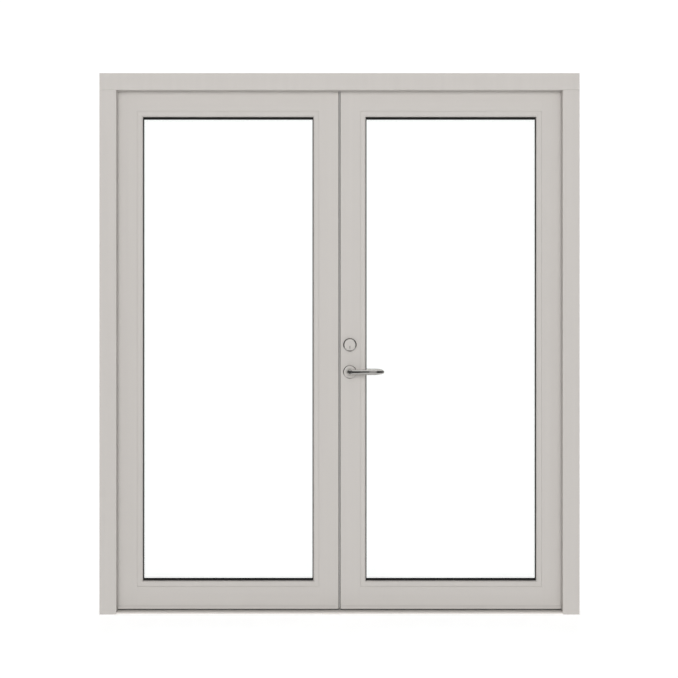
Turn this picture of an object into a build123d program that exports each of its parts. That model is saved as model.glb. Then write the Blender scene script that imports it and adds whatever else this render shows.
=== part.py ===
"""French doors: two glazed timber leaves in their frame, with hinges, seals, lock and bolts.

The leaves open inwards. The origin is on the floor under the middle of the doorway, in the mid-plane of
the leaves. X runs to the right seen from outside, Y runs inwards and Z runs up. Lengths are millimetres.
"""

from build123d import *
import math
import os

os.makedirs("parts", exist_ok=True)

# Frame
frame_width = 1880
frame_height = 2120
frame_face = 66  # jambs and head seen from outside
stop_cover = 14  # how far the stop stands in front of the rebate
recess = 40  # from the frame's outer face back to the leaves
frame_arris = 2
slide_gap = 0.3  # between sliding or facing pieces
fit_gap = 0.05  # around let-in and pushed-in pieces
overrun = 5  # cuts run this far past a face

# Leaves
leaf_thickness = 68
edge_clearance = 4  # between a leaf's edge and the rebate
seal_gap = 4  # between the stop and a leaf
meeting_gap = 8
leaf_lift = 15.5  # underside of the leaves above the floor
hinge_stile_face = 97.5  # seen beside the stop
meeting_stile_face = 98.9
top_rail_face = 97.6
bottom_rail_face = 108.6
leaf_arris = 2

# Glazing
bead_width = 21.5
bead_setback = 0.8  # bead behind the face of the leaf
bead_bevel = 4
bead_arris = 0.9
mitre_gap = 0.2
glass_setback = 19  # outer pane behind the face of the leaf
glass_cover = 15  # glass edge hidden behind the bead
pane_thickness = 4
glass_cavity = 16
pane_arris = 0.6
spacer_height = 12
gasket_thickness = 3
gasket_tuck = 8  # gasket hidden behind the bead
gasket_side_lip = 4.1
gasket_end_lip = 9.6
upstand_setback = 1.6  # inner sight line outside that of the beads
upstand_splay = 5  # over the depth of the upstand
block_length = 100
block_inset = 90  # from the corner of the glass to a setting block

# Seals and foot of the leaves
seal_width = 6
seal_stem = 2.8
seal_stem_depth = 5
frame_seal_inset = 6  # from the edge of the stop to the middle of the seal
meeting_seal_inset = 14  # from the outer face of the leaf to the middle of the seal
meeting_seal_width = 8
sweep_inset = 8
sweep_width = 8
sweep_tip = 3
drip_height = 13
drip_depth = 6
drip_nose = 5
drip_lip = 1.5
drip_groove = 2
drip_end_gap = 2

# Threshold
threshold_lift = 2
threshold_front = 8  # top of the front edge above the floor
threshold_top = 10
threshold_back = 6
threshold_wall = 2.5
threshold_ramp = 24
threshold_legs = 5
support_width = 68.5

# Hinges
hinge_length = 100
hinge_radius = 8
hinge_offset = 10  # pin axis in front of the inner face
hinge_end_distance = 230  # from the end of a leaf to the middle of a hinge
hinge_plate = 2.5
hinge_plate_depth = 30
hinge_pin_radius = 4
hinge_pin_clearance = 0.08
hinge_cap = 4
hinge_tip_arris = 1.5
hinge_count = 3

# Frame fixings
fixing_end_distance = 160  # from the head or the floor to the first screw
fixing_inner_spacing = 640
fixing_sleeve_radius = 9
fixing_hole_radius = 5.3
fixing_flange_radius = 12
fixing_flange = 2

# Lever handle
lever_height = 949  # spindle above the floor
backset = 37  # spindle from the edge of the leaf
lever_projection = 58
lever_reach = 134
lever_root_height = 24
lever_root_thickness = 17
lever_return = 9
neck_radius = 12.3
neck_arris = 7
grip_step = 0.5  # grip behind the front of the neck
spindle_size = 8
spindle_socket = 22  # spindle inside each lever's neck
spindle_bore_radius = 9
rose_radius = 26.5
rose_thickness = 8
rose_edge = 5.5
rose_bevel = 3
collar_radius = 14.5
collar_height = 3

# Sections of the lever's grip: reach, height, thickness, rise of the middle and return to the leaf, each as
# a share of the lever's reach, root height, root thickness, root height and return
grip_shares = (
    (-0.03, 0.93, 0.94, 0.02, 0.03),
    (0.1, 0.95, 0.93, 0.03, 0.03),
    (0.3, 0.94, 0.88, 0.045, 0.03),
    (0.58, 0.93, 0.8, 0.06, 0.1),
    (0.78, 0.9, 0.74, 0.075, 0.26),
    (0.92, 0.74, 0.66, 0.095, 0.55),
    (1.0, 0.4, 0.42, 0.1, 0.86),
)

# Cylinder and thumbturn
cylinder_spacing = 107  # cylinder ring above the spindle
ring_height = 11
ring_edge = 7.5
ring_rim = 1.3
cylinder_radius = 21
cylinder_inset = 0.8  # cylinder face below the rim of its ring
shank_radius = 16
plug_radius = 10
plug_drop = 9.5
plug_clearance = 0.1
key_slot_width = 2.6
key_slot_height = 11
key_slot_depth = 12
tail_thickness = 2.5
tail_height = 9
tail_bore_radius = 8
turn_stem_radius = 6
turn_stem = 7
turn_width = 13
turn_height = 38
turn_depth = 17
turn_arris = 3

# Lock
faceplate = 3
faceplate_width = 22
rod_thickness = 5
rod_width = 18
rod_throw = 14
rod_rest_gap = 0.6  # rod and bolt ends inside the edge of the leaf
rod_arris = 1.2
lug_height = 8
rack_margin = 8
rack_bar = 5
rack_thickness = 9
case_depth = 60
case_below = 52  # from the spindle to the foot of the case
case_above = 26  # from the plug to the top of the case
case_thickness = 16
case_wall = 2
journal_radius = 7.5
journal_clearance = 0.1
rod_teeth = 12
bolt_teeth = 16
tooth_addendum_share = 0.26  # of the tooth pitch
tooth_root_share = 0.33
tooth_backlash_share = 0.08
tooth_flank_angle = 20
deadbolt_height = 20
deadbolt_thickness = 10
deadbolt_length = 60
deadbolt_throw = 20
deadbolt_rack = 28
deadbolt_window = 0.5
strike_clearance = 1.5
quarter_turn = math.pi / 2

# Flush bolts and keeps
flush_bolt_radius = 5
flush_bolt_clearance = 0.08
flush_bolt_inset = 12  # bolt axis from the edge of the leaf
flush_bolt_length = 240
flush_bolt_throw = 13
thumb_distance = 200  # from the end of the leaf to the thumb piece
thumb_height = 14
thumb_width = 7
thumb_setback = 1  # thumb piece behind the edge of the leaf
flush_plate_height = 110
flush_plate_width = 18
strike_height = 64
strike_width = 22
keep_plate = 2
keep_margin = 9
keep_pocket = 18
keep_clearance = 0.6

# Places worked out from the sizes above
half_width = frame_width / 2
leaf_front = -leaf_thickness / 2
leaf_back = leaf_thickness / 2
frame_front = leaf_front - recess
frame_back = leaf_back
stop_back = leaf_front - seal_gap
stop_x = half_width - frame_face
rebate_x = stop_x + stop_cover
stop_z = frame_height - frame_face
rebate_z = stop_z + stop_cover
leaf_hinge_x = rebate_x - edge_clearance
leaf_meeting_x = meeting_gap / 2
leaf_top = rebate_z - edge_clearance
sight_hinge_x = stop_x - hinge_stile_face
sight_meeting_x = leaf_meeting_x + meeting_stile_face
sight_top_z = stop_z - top_rail_face
sight_bottom_z = leaf_lift + bottom_rail_face
bead_front = leaf_front + bead_setback
glass_front = leaf_front + glass_setback
bead_back = glass_front - gasket_thickness
cavity_front = glass_front + pane_thickness
cavity_back = cavity_front + glass_cavity
glass_back = cavity_back + pane_thickness
upstand_front = glass_back + gasket_thickness
hinge_x = (leaf_hinge_x + rebate_x) / 2
hinge_y = leaf_back + hinge_offset
hinge_first_z = leaf_lift + hinge_end_distance
hinge_pitch = (leaf_top - leaf_lift - hinge_end_distance - hinge_end_distance) / (hinge_count - 1)
hinge_heights = [hinge_first_z + i * hinge_pitch for i in range(hinge_count)]
fixing_y = (stop_back + frame_back) / 2
fixing_offsets = (frame_height / 2 - fixing_end_distance, fixing_inner_spacing / 2)
fixing_heights = [frame_height / 2 + sign * d for d in fixing_offsets for sign in (-1, 1)]
spindle_x = leaf_meeting_x + backset
cylinder_z = lever_height + cylinder_spacing
plug_z = cylinder_z - plug_drop
faceplate_back = leaf_meeting_x + faceplate
rod_front = faceplate_back + slide_gap
rod_back = rod_front + rod_thickness
case_front = rod_back + slide_gap
case_back = case_front + case_depth
case_bottom = lever_height - case_below
case_top = plug_z + case_above
rod_pitch_radius = rod_throw / quarter_turn
bolt_pitch_radius = deadbolt_throw / quarter_turn
rod_tooth_pitch = 2 * math.pi * rod_pitch_radius / rod_teeth
bolt_tooth_pitch = 2 * math.pi * bolt_pitch_radius / bolt_teeth
deadbolt_top = plug_z - bolt_pitch_radius - tooth_root_share * bolt_tooth_pitch
deadbolt_bottom = deadbolt_top - deadbolt_height
flush_bolt_x = -leaf_meeting_x - flush_bolt_inset
bolt_pocket_half = flush_bolt_radius + keep_clearance
bolt_pocket_x = (flush_bolt_x - bolt_pocket_half, flush_bolt_x + bolt_pocket_half)
bolt_pocket_y = (-bolt_pocket_half, bolt_pocket_half)
rod_pocket_x = (rod_front - keep_clearance, rod_back + keep_clearance)
rod_pocket_y = (-rod_width / 2 - keep_clearance, rod_width / 2 + keep_clearance)
rod_keep_x = (rod_pocket_x[0] - keep_plate, rod_pocket_x[1] + keep_margin)
bolt_keep_x = (bolt_pocket_x[0] - keep_margin, bolt_pocket_x[1] + keep_plate)
keep_y = (rod_pocket_y[0] - keep_margin, rod_pocket_y[1] + keep_margin)
sides = (("passive", -1), ("active", 1))


def save(part, name):
    """Label a finished piece and write it under its own name."""
    part.label = name
    export_step(part, f"parts/{name}.step")


def slab(x_span, y_span, z_span, mode=Mode.ADD):
    """A rectangular solid between three pairs of planes."""
    spans = (x_span, y_span, z_span)
    middle = tuple(sum(span) / 2 for span in spans)
    with Locations(middle):
        Box(*(abs(span[1] - span[0]) for span in spans), mode=mode)


def prism(plane, points, depth, mode=Mode.ADD):
    """A closed outline on a plane, carried along the plane's normal."""
    with BuildSketch(plane) as outline:
        with BuildLine():
            Polyline(*points, close=True)
        make_face()
    extrude(outline.sketch, amount=depth, mode=mode)


def turned(points, x, z, face_y, outward, mode=Mode.ADD):
    """A section of (radius, height off the face) points, turned about an axis along Y."""
    with BuildSketch(Plane((x, face_y, z), x_dir=(1, 0, 0), z_dir=(0, 0, 1))) as section:
        with BuildLine():
            Polyline(*((radius, outward * height) for radius, height in points), close=True)
        make_face()
    revolve(section.sketch, axis=Axis((x, face_y, z), (0, 1, 0)), mode=mode)


def bar_along_y(radius, x, z, y_span, mode=Mode.ADD):
    """A round bar or bore along Y."""
    with BuildSketch(Plane.XZ.offset(-y_span[0])) as circle:
        with Locations((x, z)):
            Circle(radius)
    extrude(circle.sketch, amount=y_span[0] - y_span[1], mode=mode)


def bar_along_z(radius, x, y, z_span, mode=Mode.ADD):
    """A round bar or bore along Z."""
    with BuildSketch(Plane.XY.offset(z_span[0])) as circle:
        with Locations((x, y)):
            Circle(radius)
    extrude(circle.sketch, amount=z_span[1] - z_span[0], mode=mode)


def bulb(plane, width, height, stem_width, stem_depth, depth):
    """A seal: a D-shaped bulb standing on its base line, with a stem behind it."""
    half, stem = width / 2, stem_width / 2
    with BuildSketch(plane) as section:
        with BuildLine():
            ThreePointArc((-half, 0), (0, height), (half, 0))
            Polyline((half, 0), (stem, 0), (stem, -stem_depth), (-stem, -stem_depth), (-stem, 0), (-half, 0))
        make_face()
    extrude(section.sketch, amount=depth)


# Head lining, over the full width, with keeps and pockets for the bolts
with BuildPart() as head:
    slab((-half_width, half_width), (stop_back, frame_back), (rebate_z, frame_height))
    slab(rod_pocket_x, rod_pocket_y, (rebate_z, rebate_z + keep_pocket), Mode.SUBTRACT)
    slab(bolt_pocket_x, bolt_pocket_y, (rebate_z, rebate_z + keep_pocket), Mode.SUBTRACT)
    for keep_x in (rod_keep_x, bolt_keep_x):
        slab(keep_x, keep_y, (rebate_z, rebate_z + keep_plate), Mode.SUBTRACT)
save(head.part, "head")

# Keep plates let into the head, one for each leaf
with BuildPart() as head_keeps:
    for keep_x in (rod_keep_x, bolt_keep_x):
        slab(keep_x, keep_y, (rebate_z, rebate_z + keep_plate))
    slab(rod_pocket_x, rod_pocket_y, (rebate_z, rebate_z + keep_plate), Mode.SUBTRACT)
    slab(bolt_pocket_x, bolt_pocket_y, (rebate_z, rebate_z + keep_plate), Mode.SUBTRACT)
save(head_keeps.part, "head_keeps")


def make_jamb(name, side):
    """The lining of a jamb, under the head, with hinge recesses and fixing holes."""
    with BuildPart() as jamb:
        slab((side * rebate_x, side * half_width), (stop_back, frame_back), (0, rebate_z))
        for z in hinge_heights:
            slab(
                (side * rebate_x, side * (rebate_x + hinge_plate)),
                (leaf_back - hinge_plate_depth, frame_back),
                (z - hinge_length / 2, z + hinge_length / 2),
                Mode.SUBTRACT,
            )
        for z in fixing_heights:
            with BuildSketch(Plane.YZ) as hole:
                with Locations((fixing_y, z)):
                    Circle(fixing_sleeve_radius + fit_gap)
            with BuildSketch(Plane.YZ.offset(side * rebate_x)) as sink:
                with Locations((fixing_y, z)):
                    Circle(fixing_flange_radius + fit_gap)
            extrude(hole.sketch, amount=side * (half_width + overrun), mode=Mode.SUBTRACT)
            extrude(sink.sketch, amount=side * fixing_flange, mode=Mode.SUBTRACT)
    save(jamb.part, name)


make_jamb("left_jamb", -1)
make_jamb("right_jamb", 1)


def make_stop(plane, outer, length):
    """A stop member: outer and inner edges in the plane's first axis, depth in its second."""
    inner = outer - math.copysign(frame_face, outer)
    groove_middle = inner + math.copysign(frame_seal_inset, outer)
    groove_half = seal_stem / 2 + fit_gap
    groove_end = stop_back - seal_stem_depth - fit_gap
    outline = [
        (outer, frame_front),
        (inner, frame_front),
        (inner, stop_back),
        (groove_middle - math.copysign(groove_half, outer), stop_back),
        (groove_middle - math.copysign(groove_half, outer), groove_end),
        (groove_middle + math.copysign(groove_half, outer), groove_end),
        (groove_middle + math.copysign(groove_half, outer), stop_back),
        (outer, stop_back),
    ]
    with BuildPart() as stop:
        with BuildSketch(plane) as section:
            with BuildLine():
                Polyline(*outline, close=True)
            make_face()
            front_corners = section.vertices().group_by(Axis.Y)[0]
            fillet(front_corners.sort_by(lambda v: abs(v.X - inner))[0], frame_arris)
        extrude(section.sketch, amount=length)
    return stop.part


# Stop frame in front of the linings: the two sides and the head over them
with BuildPart() as stop_frame:
    for side in (-1, 1):
        add(make_stop(Plane.XY, side * half_width, stop_z - mitre_gap))
    head_plane = Plane((half_width, 0, 0), x_dir=(0, 0, 1), z_dir=(-1, 0, 0))
    add(make_stop(head_plane, frame_height, frame_width))
save(stop_frame.part, "stop_frame")

# Sleeves for the frame screws, through each jamb with a flange in the rebate
with BuildPart() as frame_fixing_sleeves:
    for side in (-1, 1):
        for z in fixing_heights:
            with BuildSketch(Plane.YZ.offset(side * rebate_x)) as flange:
                with Locations((fixing_y, z)):
                    Circle(fixing_flange_radius)
            with BuildSketch(Plane.YZ.offset(side * rebate_x)) as tube:
                with Locations((fixing_y, z)):
                    Circle(fixing_sleeve_radius)
            with BuildSketch(Plane.YZ.offset(side * rebate_x)) as bore:
                with Locations((fixing_y, z)):
                    Circle(fixing_hole_radius)
            extrude(flange.sketch, amount=side * fixing_flange)
            extrude(tube.sketch, amount=side * (half_width - rebate_x))
            extrude(bore.sketch, amount=side * (half_width - rebate_x), mode=Mode.SUBTRACT)
save(frame_fixing_sleeves.part, "frame_fixing_sleeves")

# Weatherstrip on the back of the stop, at both sides and over the leaves
with BuildPart() as frame_gasket:
    for side in (-1, 1):
        strip_x = side * (stop_x + frame_seal_inset)
        strip_plane = Plane((strip_x, stop_back, threshold_top), x_dir=(1, 0, 0), z_dir=(0, 0, 1))
        bulb(
            strip_plane, seal_width, seal_gap - slide_gap, seal_stem, seal_stem_depth, stop_z - threshold_top
        )
    top_seal_half = stop_x + frame_seal_inset + seal_width / 2
    top_seal_z = stop_z + frame_seal_inset
    top_plane = Plane((top_seal_half, stop_back, top_seal_z), x_dir=(0, 0, 1), z_dir=(-1, 0, 0))
    bulb(top_plane, seal_width, seal_gap - slide_gap, seal_stem, seal_stem_depth, 2 * top_seal_half)
save(frame_gasket.part, "frame_gasket")

# Threshold: a low hollow extrusion with a sloped front, a flat seat for the sweeps and a ramp inside
with BuildPart() as threshold:
    threshold_outline = [
        (frame_front, threshold_lift),
        (frame_front, threshold_front),
        (stop_back, threshold_top),
        (frame_back - threshold_ramp, threshold_top),
        (frame_back, threshold_back),
        (frame_back, threshold_lift),
    ]
    prism(Plane.YZ.offset(-rebate_x), threshold_outline, 2 * rebate_x)
    leg_pitch = (frame_back - frame_front - threshold_wall) / (threshold_legs - 1)
    for i in range(threshold_legs - 1):
        leg_y = frame_front + threshold_wall + i * leg_pitch
        slab(
            (-rebate_x, rebate_x),
            (leg_y, leg_y + leg_pitch - threshold_wall),
            (threshold_lift, min(threshold_front, threshold_back) - threshold_wall),
            Mode.SUBTRACT,
        )
    slab(rod_pocket_x, rod_pocket_y, (0, threshold_top), Mode.SUBTRACT)
    slab(bolt_pocket_x, bolt_pocket_y, (0, threshold_top), Mode.SUBTRACT)
    for side in (-1, 1):
        slab((side * stop_x, side * rebate_x), (frame_front, stop_back), (0, threshold_top), Mode.SUBTRACT)
save(threshold.part, "threshold")

# Support under the threshold beside the middle, below the passive leaf's bolt
with BuildPart() as threshold_support:
    slab((-support_width, 0), (frame_front, frame_back), (0, threshold_lift))
save(threshold_support.part, "threshold_support")


def hinge_half(x, z_middle, plate_x, plate_side, upper):
    """One half of a lift-off hinge: a plate let into the edge and a knuckle round the pin."""
    half = hinge_length / 2
    knuckle = (z_middle + slide_gap, z_middle + half) if upper else (z_middle - half, z_middle)
    plate_span = (plate_x, plate_x + plate_side * hinge_plate)
    with BuildPart() as leaf:
        bar_along_z(hinge_radius, x, hinge_y, knuckle)
        rims = leaf.edges().filter_by(GeomType.CIRCLE).sort_by(Axis.Z)
        chamfer(rims[-1] if upper else rims[0], hinge_tip_arris)
        slab(plate_span, (leaf_back - hinge_plate_depth, leaf_back), (z_middle - half, z_middle + half))
        slab(plate_span, (leaf_back, hinge_y), knuckle)
        if upper:
            bore_top = z_middle + half - hinge_cap
            bore_radius = hinge_pin_radius + hinge_pin_clearance
            bar_along_z(bore_radius, x, hinge_y, (z_middle - half, bore_top), Mode.SUBTRACT)
        else:
            bore_span = (z_middle - half + hinge_cap, z_middle + half)
            bar_along_z(hinge_pin_radius + fit_gap, x, hinge_y, bore_span, Mode.SUBTRACT)
    return leaf.part


# Hinge halves on the jambs, each with the pin that stands in it
with BuildPart() as hinge_frame_halves:
    for side in (-1, 1):
        for z in hinge_heights:
            add(hinge_half(side * hinge_x, z, side * rebate_x, side, upper=False))
            pin_foot = z - hinge_length / 2 + hinge_cap + fit_gap
            pin_tip = z + hinge_length / 2 - hinge_cap - slide_gap
            bar_along_z(hinge_pin_radius, side * hinge_x, hinge_y, (pin_foot, pin_tip))
save(hinge_frame_halves.part, "hinge_frame_halves")


def stile_block(side, edge_x, sight_x):
    """A stile over the full height of the leaf, rebated for the glass, grooved under for the sweep."""
    outwards = 1 if edge_x > sight_x else -1
    base_x = sight_x + outwards * bead_width
    outline = [
        (edge_x, leaf_front),
        (base_x, leaf_front),
        (base_x, upstand_front),
        (sight_x + outwards * upstand_setback, upstand_front),
        (sight_x + outwards * (upstand_setback + upstand_splay), leaf_back),
        (edge_x, leaf_back),
    ]
    with BuildSketch(Plane.XY.offset(leaf_lift)) as section:
        with BuildLine():
            Polyline(*((side * x, y) for x, y in outline), close=True)
        make_face()
        front_corners = section.vertices().group_by(Axis.Y)[0]
        back_corners = section.vertices().group_by(Axis.Y)[-1]
        front_edge = front_corners.sort_by(lambda v: abs(v.X - side * edge_x))[0]
        fillet([front_edge, *back_corners], leaf_arris)
    extrude(section.sketch, amount=leaf_top - leaf_lift)
    cut_sweep_groove(side)


def cut_sweep_groove(side):
    """The groove under a leaf that holds the stem of its sweep."""
    middle = leaf_front + sweep_inset
    half = seal_stem / 2 + fit_gap
    slab(
        (side * leaf_meeting_x, side * leaf_hinge_x),
        (middle - half, middle + half),
        (leaf_lift, leaf_lift + seal_stem_depth + fit_gap),
        Mode.SUBTRACT,
    )


def cut_meeting_edge(side):
    """The groove along a meeting edge that holds the stem of its seal."""
    middle = leaf_front + meeting_seal_inset
    half = seal_stem / 2 + fit_gap
    slab(
        (side * leaf_meeting_x, side * (leaf_meeting_x + seal_stem_depth + fit_gap)),
        (middle - half, middle + half),
        (leaf_lift, leaf_top),
        Mode.SUBTRACT,
    )


def cut_lock_recesses():
    """Grooves for the faceplate and the rods, the mortise for the case and the bores across the stile."""
    plate_half = faceplate_width / 2
    rod_half = rod_width / 2 + slide_gap
    case_half = case_thickness / 2 + slide_gap
    shank_z = cylinder_z - plug_drop / 2
    full = (leaf_lift, leaf_top)
    slab((leaf_meeting_x, faceplate_back), (-plate_half, plate_half), full, Mode.SUBTRACT)
    slab((faceplate_back, case_front), (-rod_half, rod_half), full, Mode.SUBTRACT)
    case_z = (case_bottom - slide_gap, case_top + slide_gap)
    slab((faceplate_back, case_back + slide_gap), (-case_half, case_half), case_z, Mode.SUBTRACT)
    through = (leaf_front - overrun, leaf_back + overrun)
    bar_along_y(spindle_bore_radius, spindle_x, lever_height, through, Mode.SUBTRACT)
    bar_along_y(shank_radius + slide_gap, spindle_x, shank_z, (leaf_front, 0), Mode.SUBTRACT)
    bar_along_y(tail_bore_radius, spindle_x, plug_z, (0, leaf_back), Mode.SUBTRACT)


def flush_bolt_places():
    """For the top and the bottom bolt: the end of the leaf and the direction of the throw."""
    return ((leaf_top, 1), (leaf_lift, -1))


def cut_bolt_recesses():
    """Bores for the flush bolts, windows for their thumb pieces, and seats for plates and strike."""
    bore_radius = flush_bolt_radius + flush_bolt_clearance
    edge = -leaf_meeting_x
    for end, up in flush_bolt_places():
        inner_end = end - up * (flush_bolt_length + flush_bolt_throw)
        bar_along_z(bore_radius, flush_bolt_x, 0, (inner_end, end), Mode.SUBTRACT)
        window = thumb_window(end, up)
        window_half = thumb_width / 2 + slide_gap
        slab((flush_bolt_x, edge), (-window_half, window_half), window, Mode.SUBTRACT)
        slab(
            (edge - faceplate, edge),
            (-flush_plate_width / 2, flush_plate_width / 2),
            flush_plate_span(end, up),
            Mode.SUBTRACT,
        )
    strike_y = (-strike_width / 2, strike_width / 2)
    slab((edge - faceplate, edge), strike_y, strike_span(), Mode.SUBTRACT)
    pocket_x = (edge - deadbolt_throw - slide_gap, edge)
    slab(pocket_x, *deadbolt_window_spans(strike_clearance), mode=Mode.SUBTRACT)


def thumb_window(end, up):
    """Span along Z that a thumb piece needs over its travel."""
    middle = end - up * thumb_distance
    lowest = middle - thumb_height / 2 - slide_gap
    highest = middle + thumb_height / 2 + slide_gap
    return (lowest, highest + flush_bolt_throw) if up > 0 else (lowest - flush_bolt_throw, highest)


def flush_plate_span(end, up):
    """Span of a flush bolt's plate along Z."""
    middle = end - up * thumb_distance
    return (middle - flush_plate_height / 2, middle + flush_plate_height / 2)


def strike_span():
    """Span of the strike plate along Z, round the deadbolt."""
    middle = (deadbolt_bottom + deadbolt_top) / 2
    return (middle - strike_height / 2, middle + strike_height / 2)


def deadbolt_window_spans(clearance):
    """Spans along Y and Z of a window that clears the deadbolt all round."""
    half = deadbolt_thickness / 2 + clearance
    return ((-half, half), (deadbolt_bottom - clearance, deadbolt_top + clearance))


def make_leaf_frame(leaf, side):
    """The stiles and rails of a leaf, rails scribed to the stiles."""
    with BuildPart() as hinge_stile:
        stile_block(side, leaf_hinge_x, sight_hinge_x)
        for z in hinge_heights:
            slab(
                (side * (leaf_hinge_x - hinge_plate), side * leaf_hinge_x),
                (leaf_back - hinge_plate_depth, leaf_back),
                (z - hinge_length / 2, z + hinge_length / 2),
                Mode.SUBTRACT,
            )
    save(hinge_stile.part, f"{leaf}_hinge_stile")

    with BuildPart() as meeting_stile:
        stile_block(side, leaf_meeting_x, sight_meeting_x)
        cut_meeting_edge(side)
        if leaf == "active":
            cut_lock_recesses()
        else:
            cut_bolt_recesses()
    save(meeting_stile.part, f"{leaf}_meeting_stile")

    rail_start = side * (sight_meeting_x - bead_width)
    rail_length = side * (sight_hinge_x - sight_meeting_x + bead_width + bead_width)
    rails = (
        ("top_rail", leaf_top, sight_top_z, 1),
        ("bottom_rail", leaf_lift, sight_bottom_z, -1),
    )
    for name, outer_z, sight_z, outwards in rails:
        outline = [
            (leaf_front, outer_z),
            (leaf_front, sight_z + outwards * bead_width),
            (upstand_front, sight_z + outwards * bead_width),
            (upstand_front, sight_z + outwards * upstand_setback),
            (leaf_back, sight_z + outwards * (upstand_setback + upstand_splay)),
            (leaf_back, outer_z),
        ]
        with BuildPart() as rail:
            with BuildSketch(Plane.YZ.offset(rail_start)) as section:
                with BuildLine():
                    Polyline(*outline, close=True)
                make_face()
                back_corners = section.vertices().group_by(Axis.X)[-1]
                fillet(back_corners.sort_by(lambda v: abs(v.Y - sight_z))[0], leaf_arris)
            extrude(amount=rail_length)
            add(hinge_stile.part, mode=Mode.SUBTRACT)
            add(meeting_stile.part, mode=Mode.SUBTRACT)
            if name == "bottom_rail":
                cut_sweep_groove(side)
        save(rail.part, f"{leaf}_{name}")


def sight_span(side, across=0, along=0):
    """The sight opening of a leaf, grown by a margin across and along: its X span and its Z span."""
    x_span = (side * (sight_meeting_x - across), side * (sight_hinge_x + across))
    return tuple(sorted(x_span)), (sight_bottom_z - along, sight_top_z + along)


def cut_ring(side, across, along, y_span):
    """Clear the middle of a rectangular ring."""
    x_span, z_span = sight_span(side, across, along)
    slab(x_span, y_span, z_span, Mode.SUBTRACT)


def make_bead(outline):
    """One mitred bead: bevelled towards the glass, eased where it meets the leaf."""
    with BuildPart() as bead:
        prism(Plane.XZ.offset(-bead_back), outline, bead_back - bead_front)
        front_edges = bead.faces().sort_by(Axis.Y)[0].edges().sort_by(SortBy.LENGTH)
        outer_edge, sight_edge = front_edges[-1], front_edges[-2]
        chamfer(sight_edge, bead_bevel)
        chamfer(outer_edge, bead_arris)
    return bead.part


def make_glazing(leaf, side):
    """Beads, glazed unit, gaskets and setting blocks of a leaf."""
    (base_left, base_right), (base_bottom, base_top) = sight_span(side, bead_width, bead_width)
    (left, right), (bottom, top) = sight_span(side)
    gap = mitre_gap
    bead_outlines = [
        [(base_left, base_top), (base_right, base_top), (right, top), (left, top)],
        [(base_left, base_bottom), (base_right, base_bottom), (right, bottom), (left, bottom)],
    ]
    for base_x, sight_x in ((base_left, left), (base_right, right)):
        foot = [(sight_x, top - gap), (sight_x, bottom + gap)]
        bead_outlines.append([(base_x, base_bottom + gap), (base_x, base_top - gap)] + foot)
    with BuildPart() as beads:
        for outline in bead_outlines:
            add(make_bead(outline))
    save(beads.part, f"{leaf}_glazing_beads")

    glass_x, glass_z = sight_span(side, glass_cover, glass_cover)
    panes = (("outer_pane", glass_front, cavity_front), ("inner_pane", cavity_back, glass_back))
    for name, front, back in panes:
        with BuildPart() as pane:
            slab(glass_x, (front, back), glass_z)
            chamfer(pane.edges().filter_by(Axis.Y, reverse=True), pane_arris)
        save(pane.part, f"{leaf}_{name}")

    with BuildPart() as spacer:
        slab(glass_x, (cavity_front, cavity_back), glass_z)
        spacer_in = glass_cover - spacer_height
        cut_ring(side, spacer_in, spacer_in, (cavity_front, cavity_back))
    save(spacer.part, f"{leaf}_edge_spacer")

    with BuildPart() as gaskets:
        tuck_x, tuck_z = sight_span(side, gasket_tuck, gasket_tuck)
        slab(tuck_x, (bead_back, glass_front), tuck_z)
        cut_ring(side, -gasket_side_lip, -gasket_end_lip, (bead_back, glass_front))
        slab(tuck_x, (glass_back, upstand_front), tuck_z)
        cut_ring(side, upstand_setback, upstand_setback, (glass_back, upstand_front))
    save(gaskets.part, f"{leaf}_glazing_gaskets")

    with BuildPart() as blocks:
        glass_y = (glass_front, glass_back)
        first_x, last_x = glass_x[0] + block_inset, glass_x[1] - block_inset - block_length
        for x in (first_x, last_x):
            slab((x, x + block_length), glass_y, (base_bottom, glass_z[0]))
            slab((x, x + block_length), glass_y, (glass_z[1], base_top))
        side_z = glass_z[1] - block_inset - block_length
        slab((base_left, glass_x[0]), glass_y, (side_z, side_z + block_length))
        slab((glass_x[1], base_right), glass_y, (side_z, side_z + block_length))
    save(blocks.part, f"{leaf}_setting_blocks")


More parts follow.
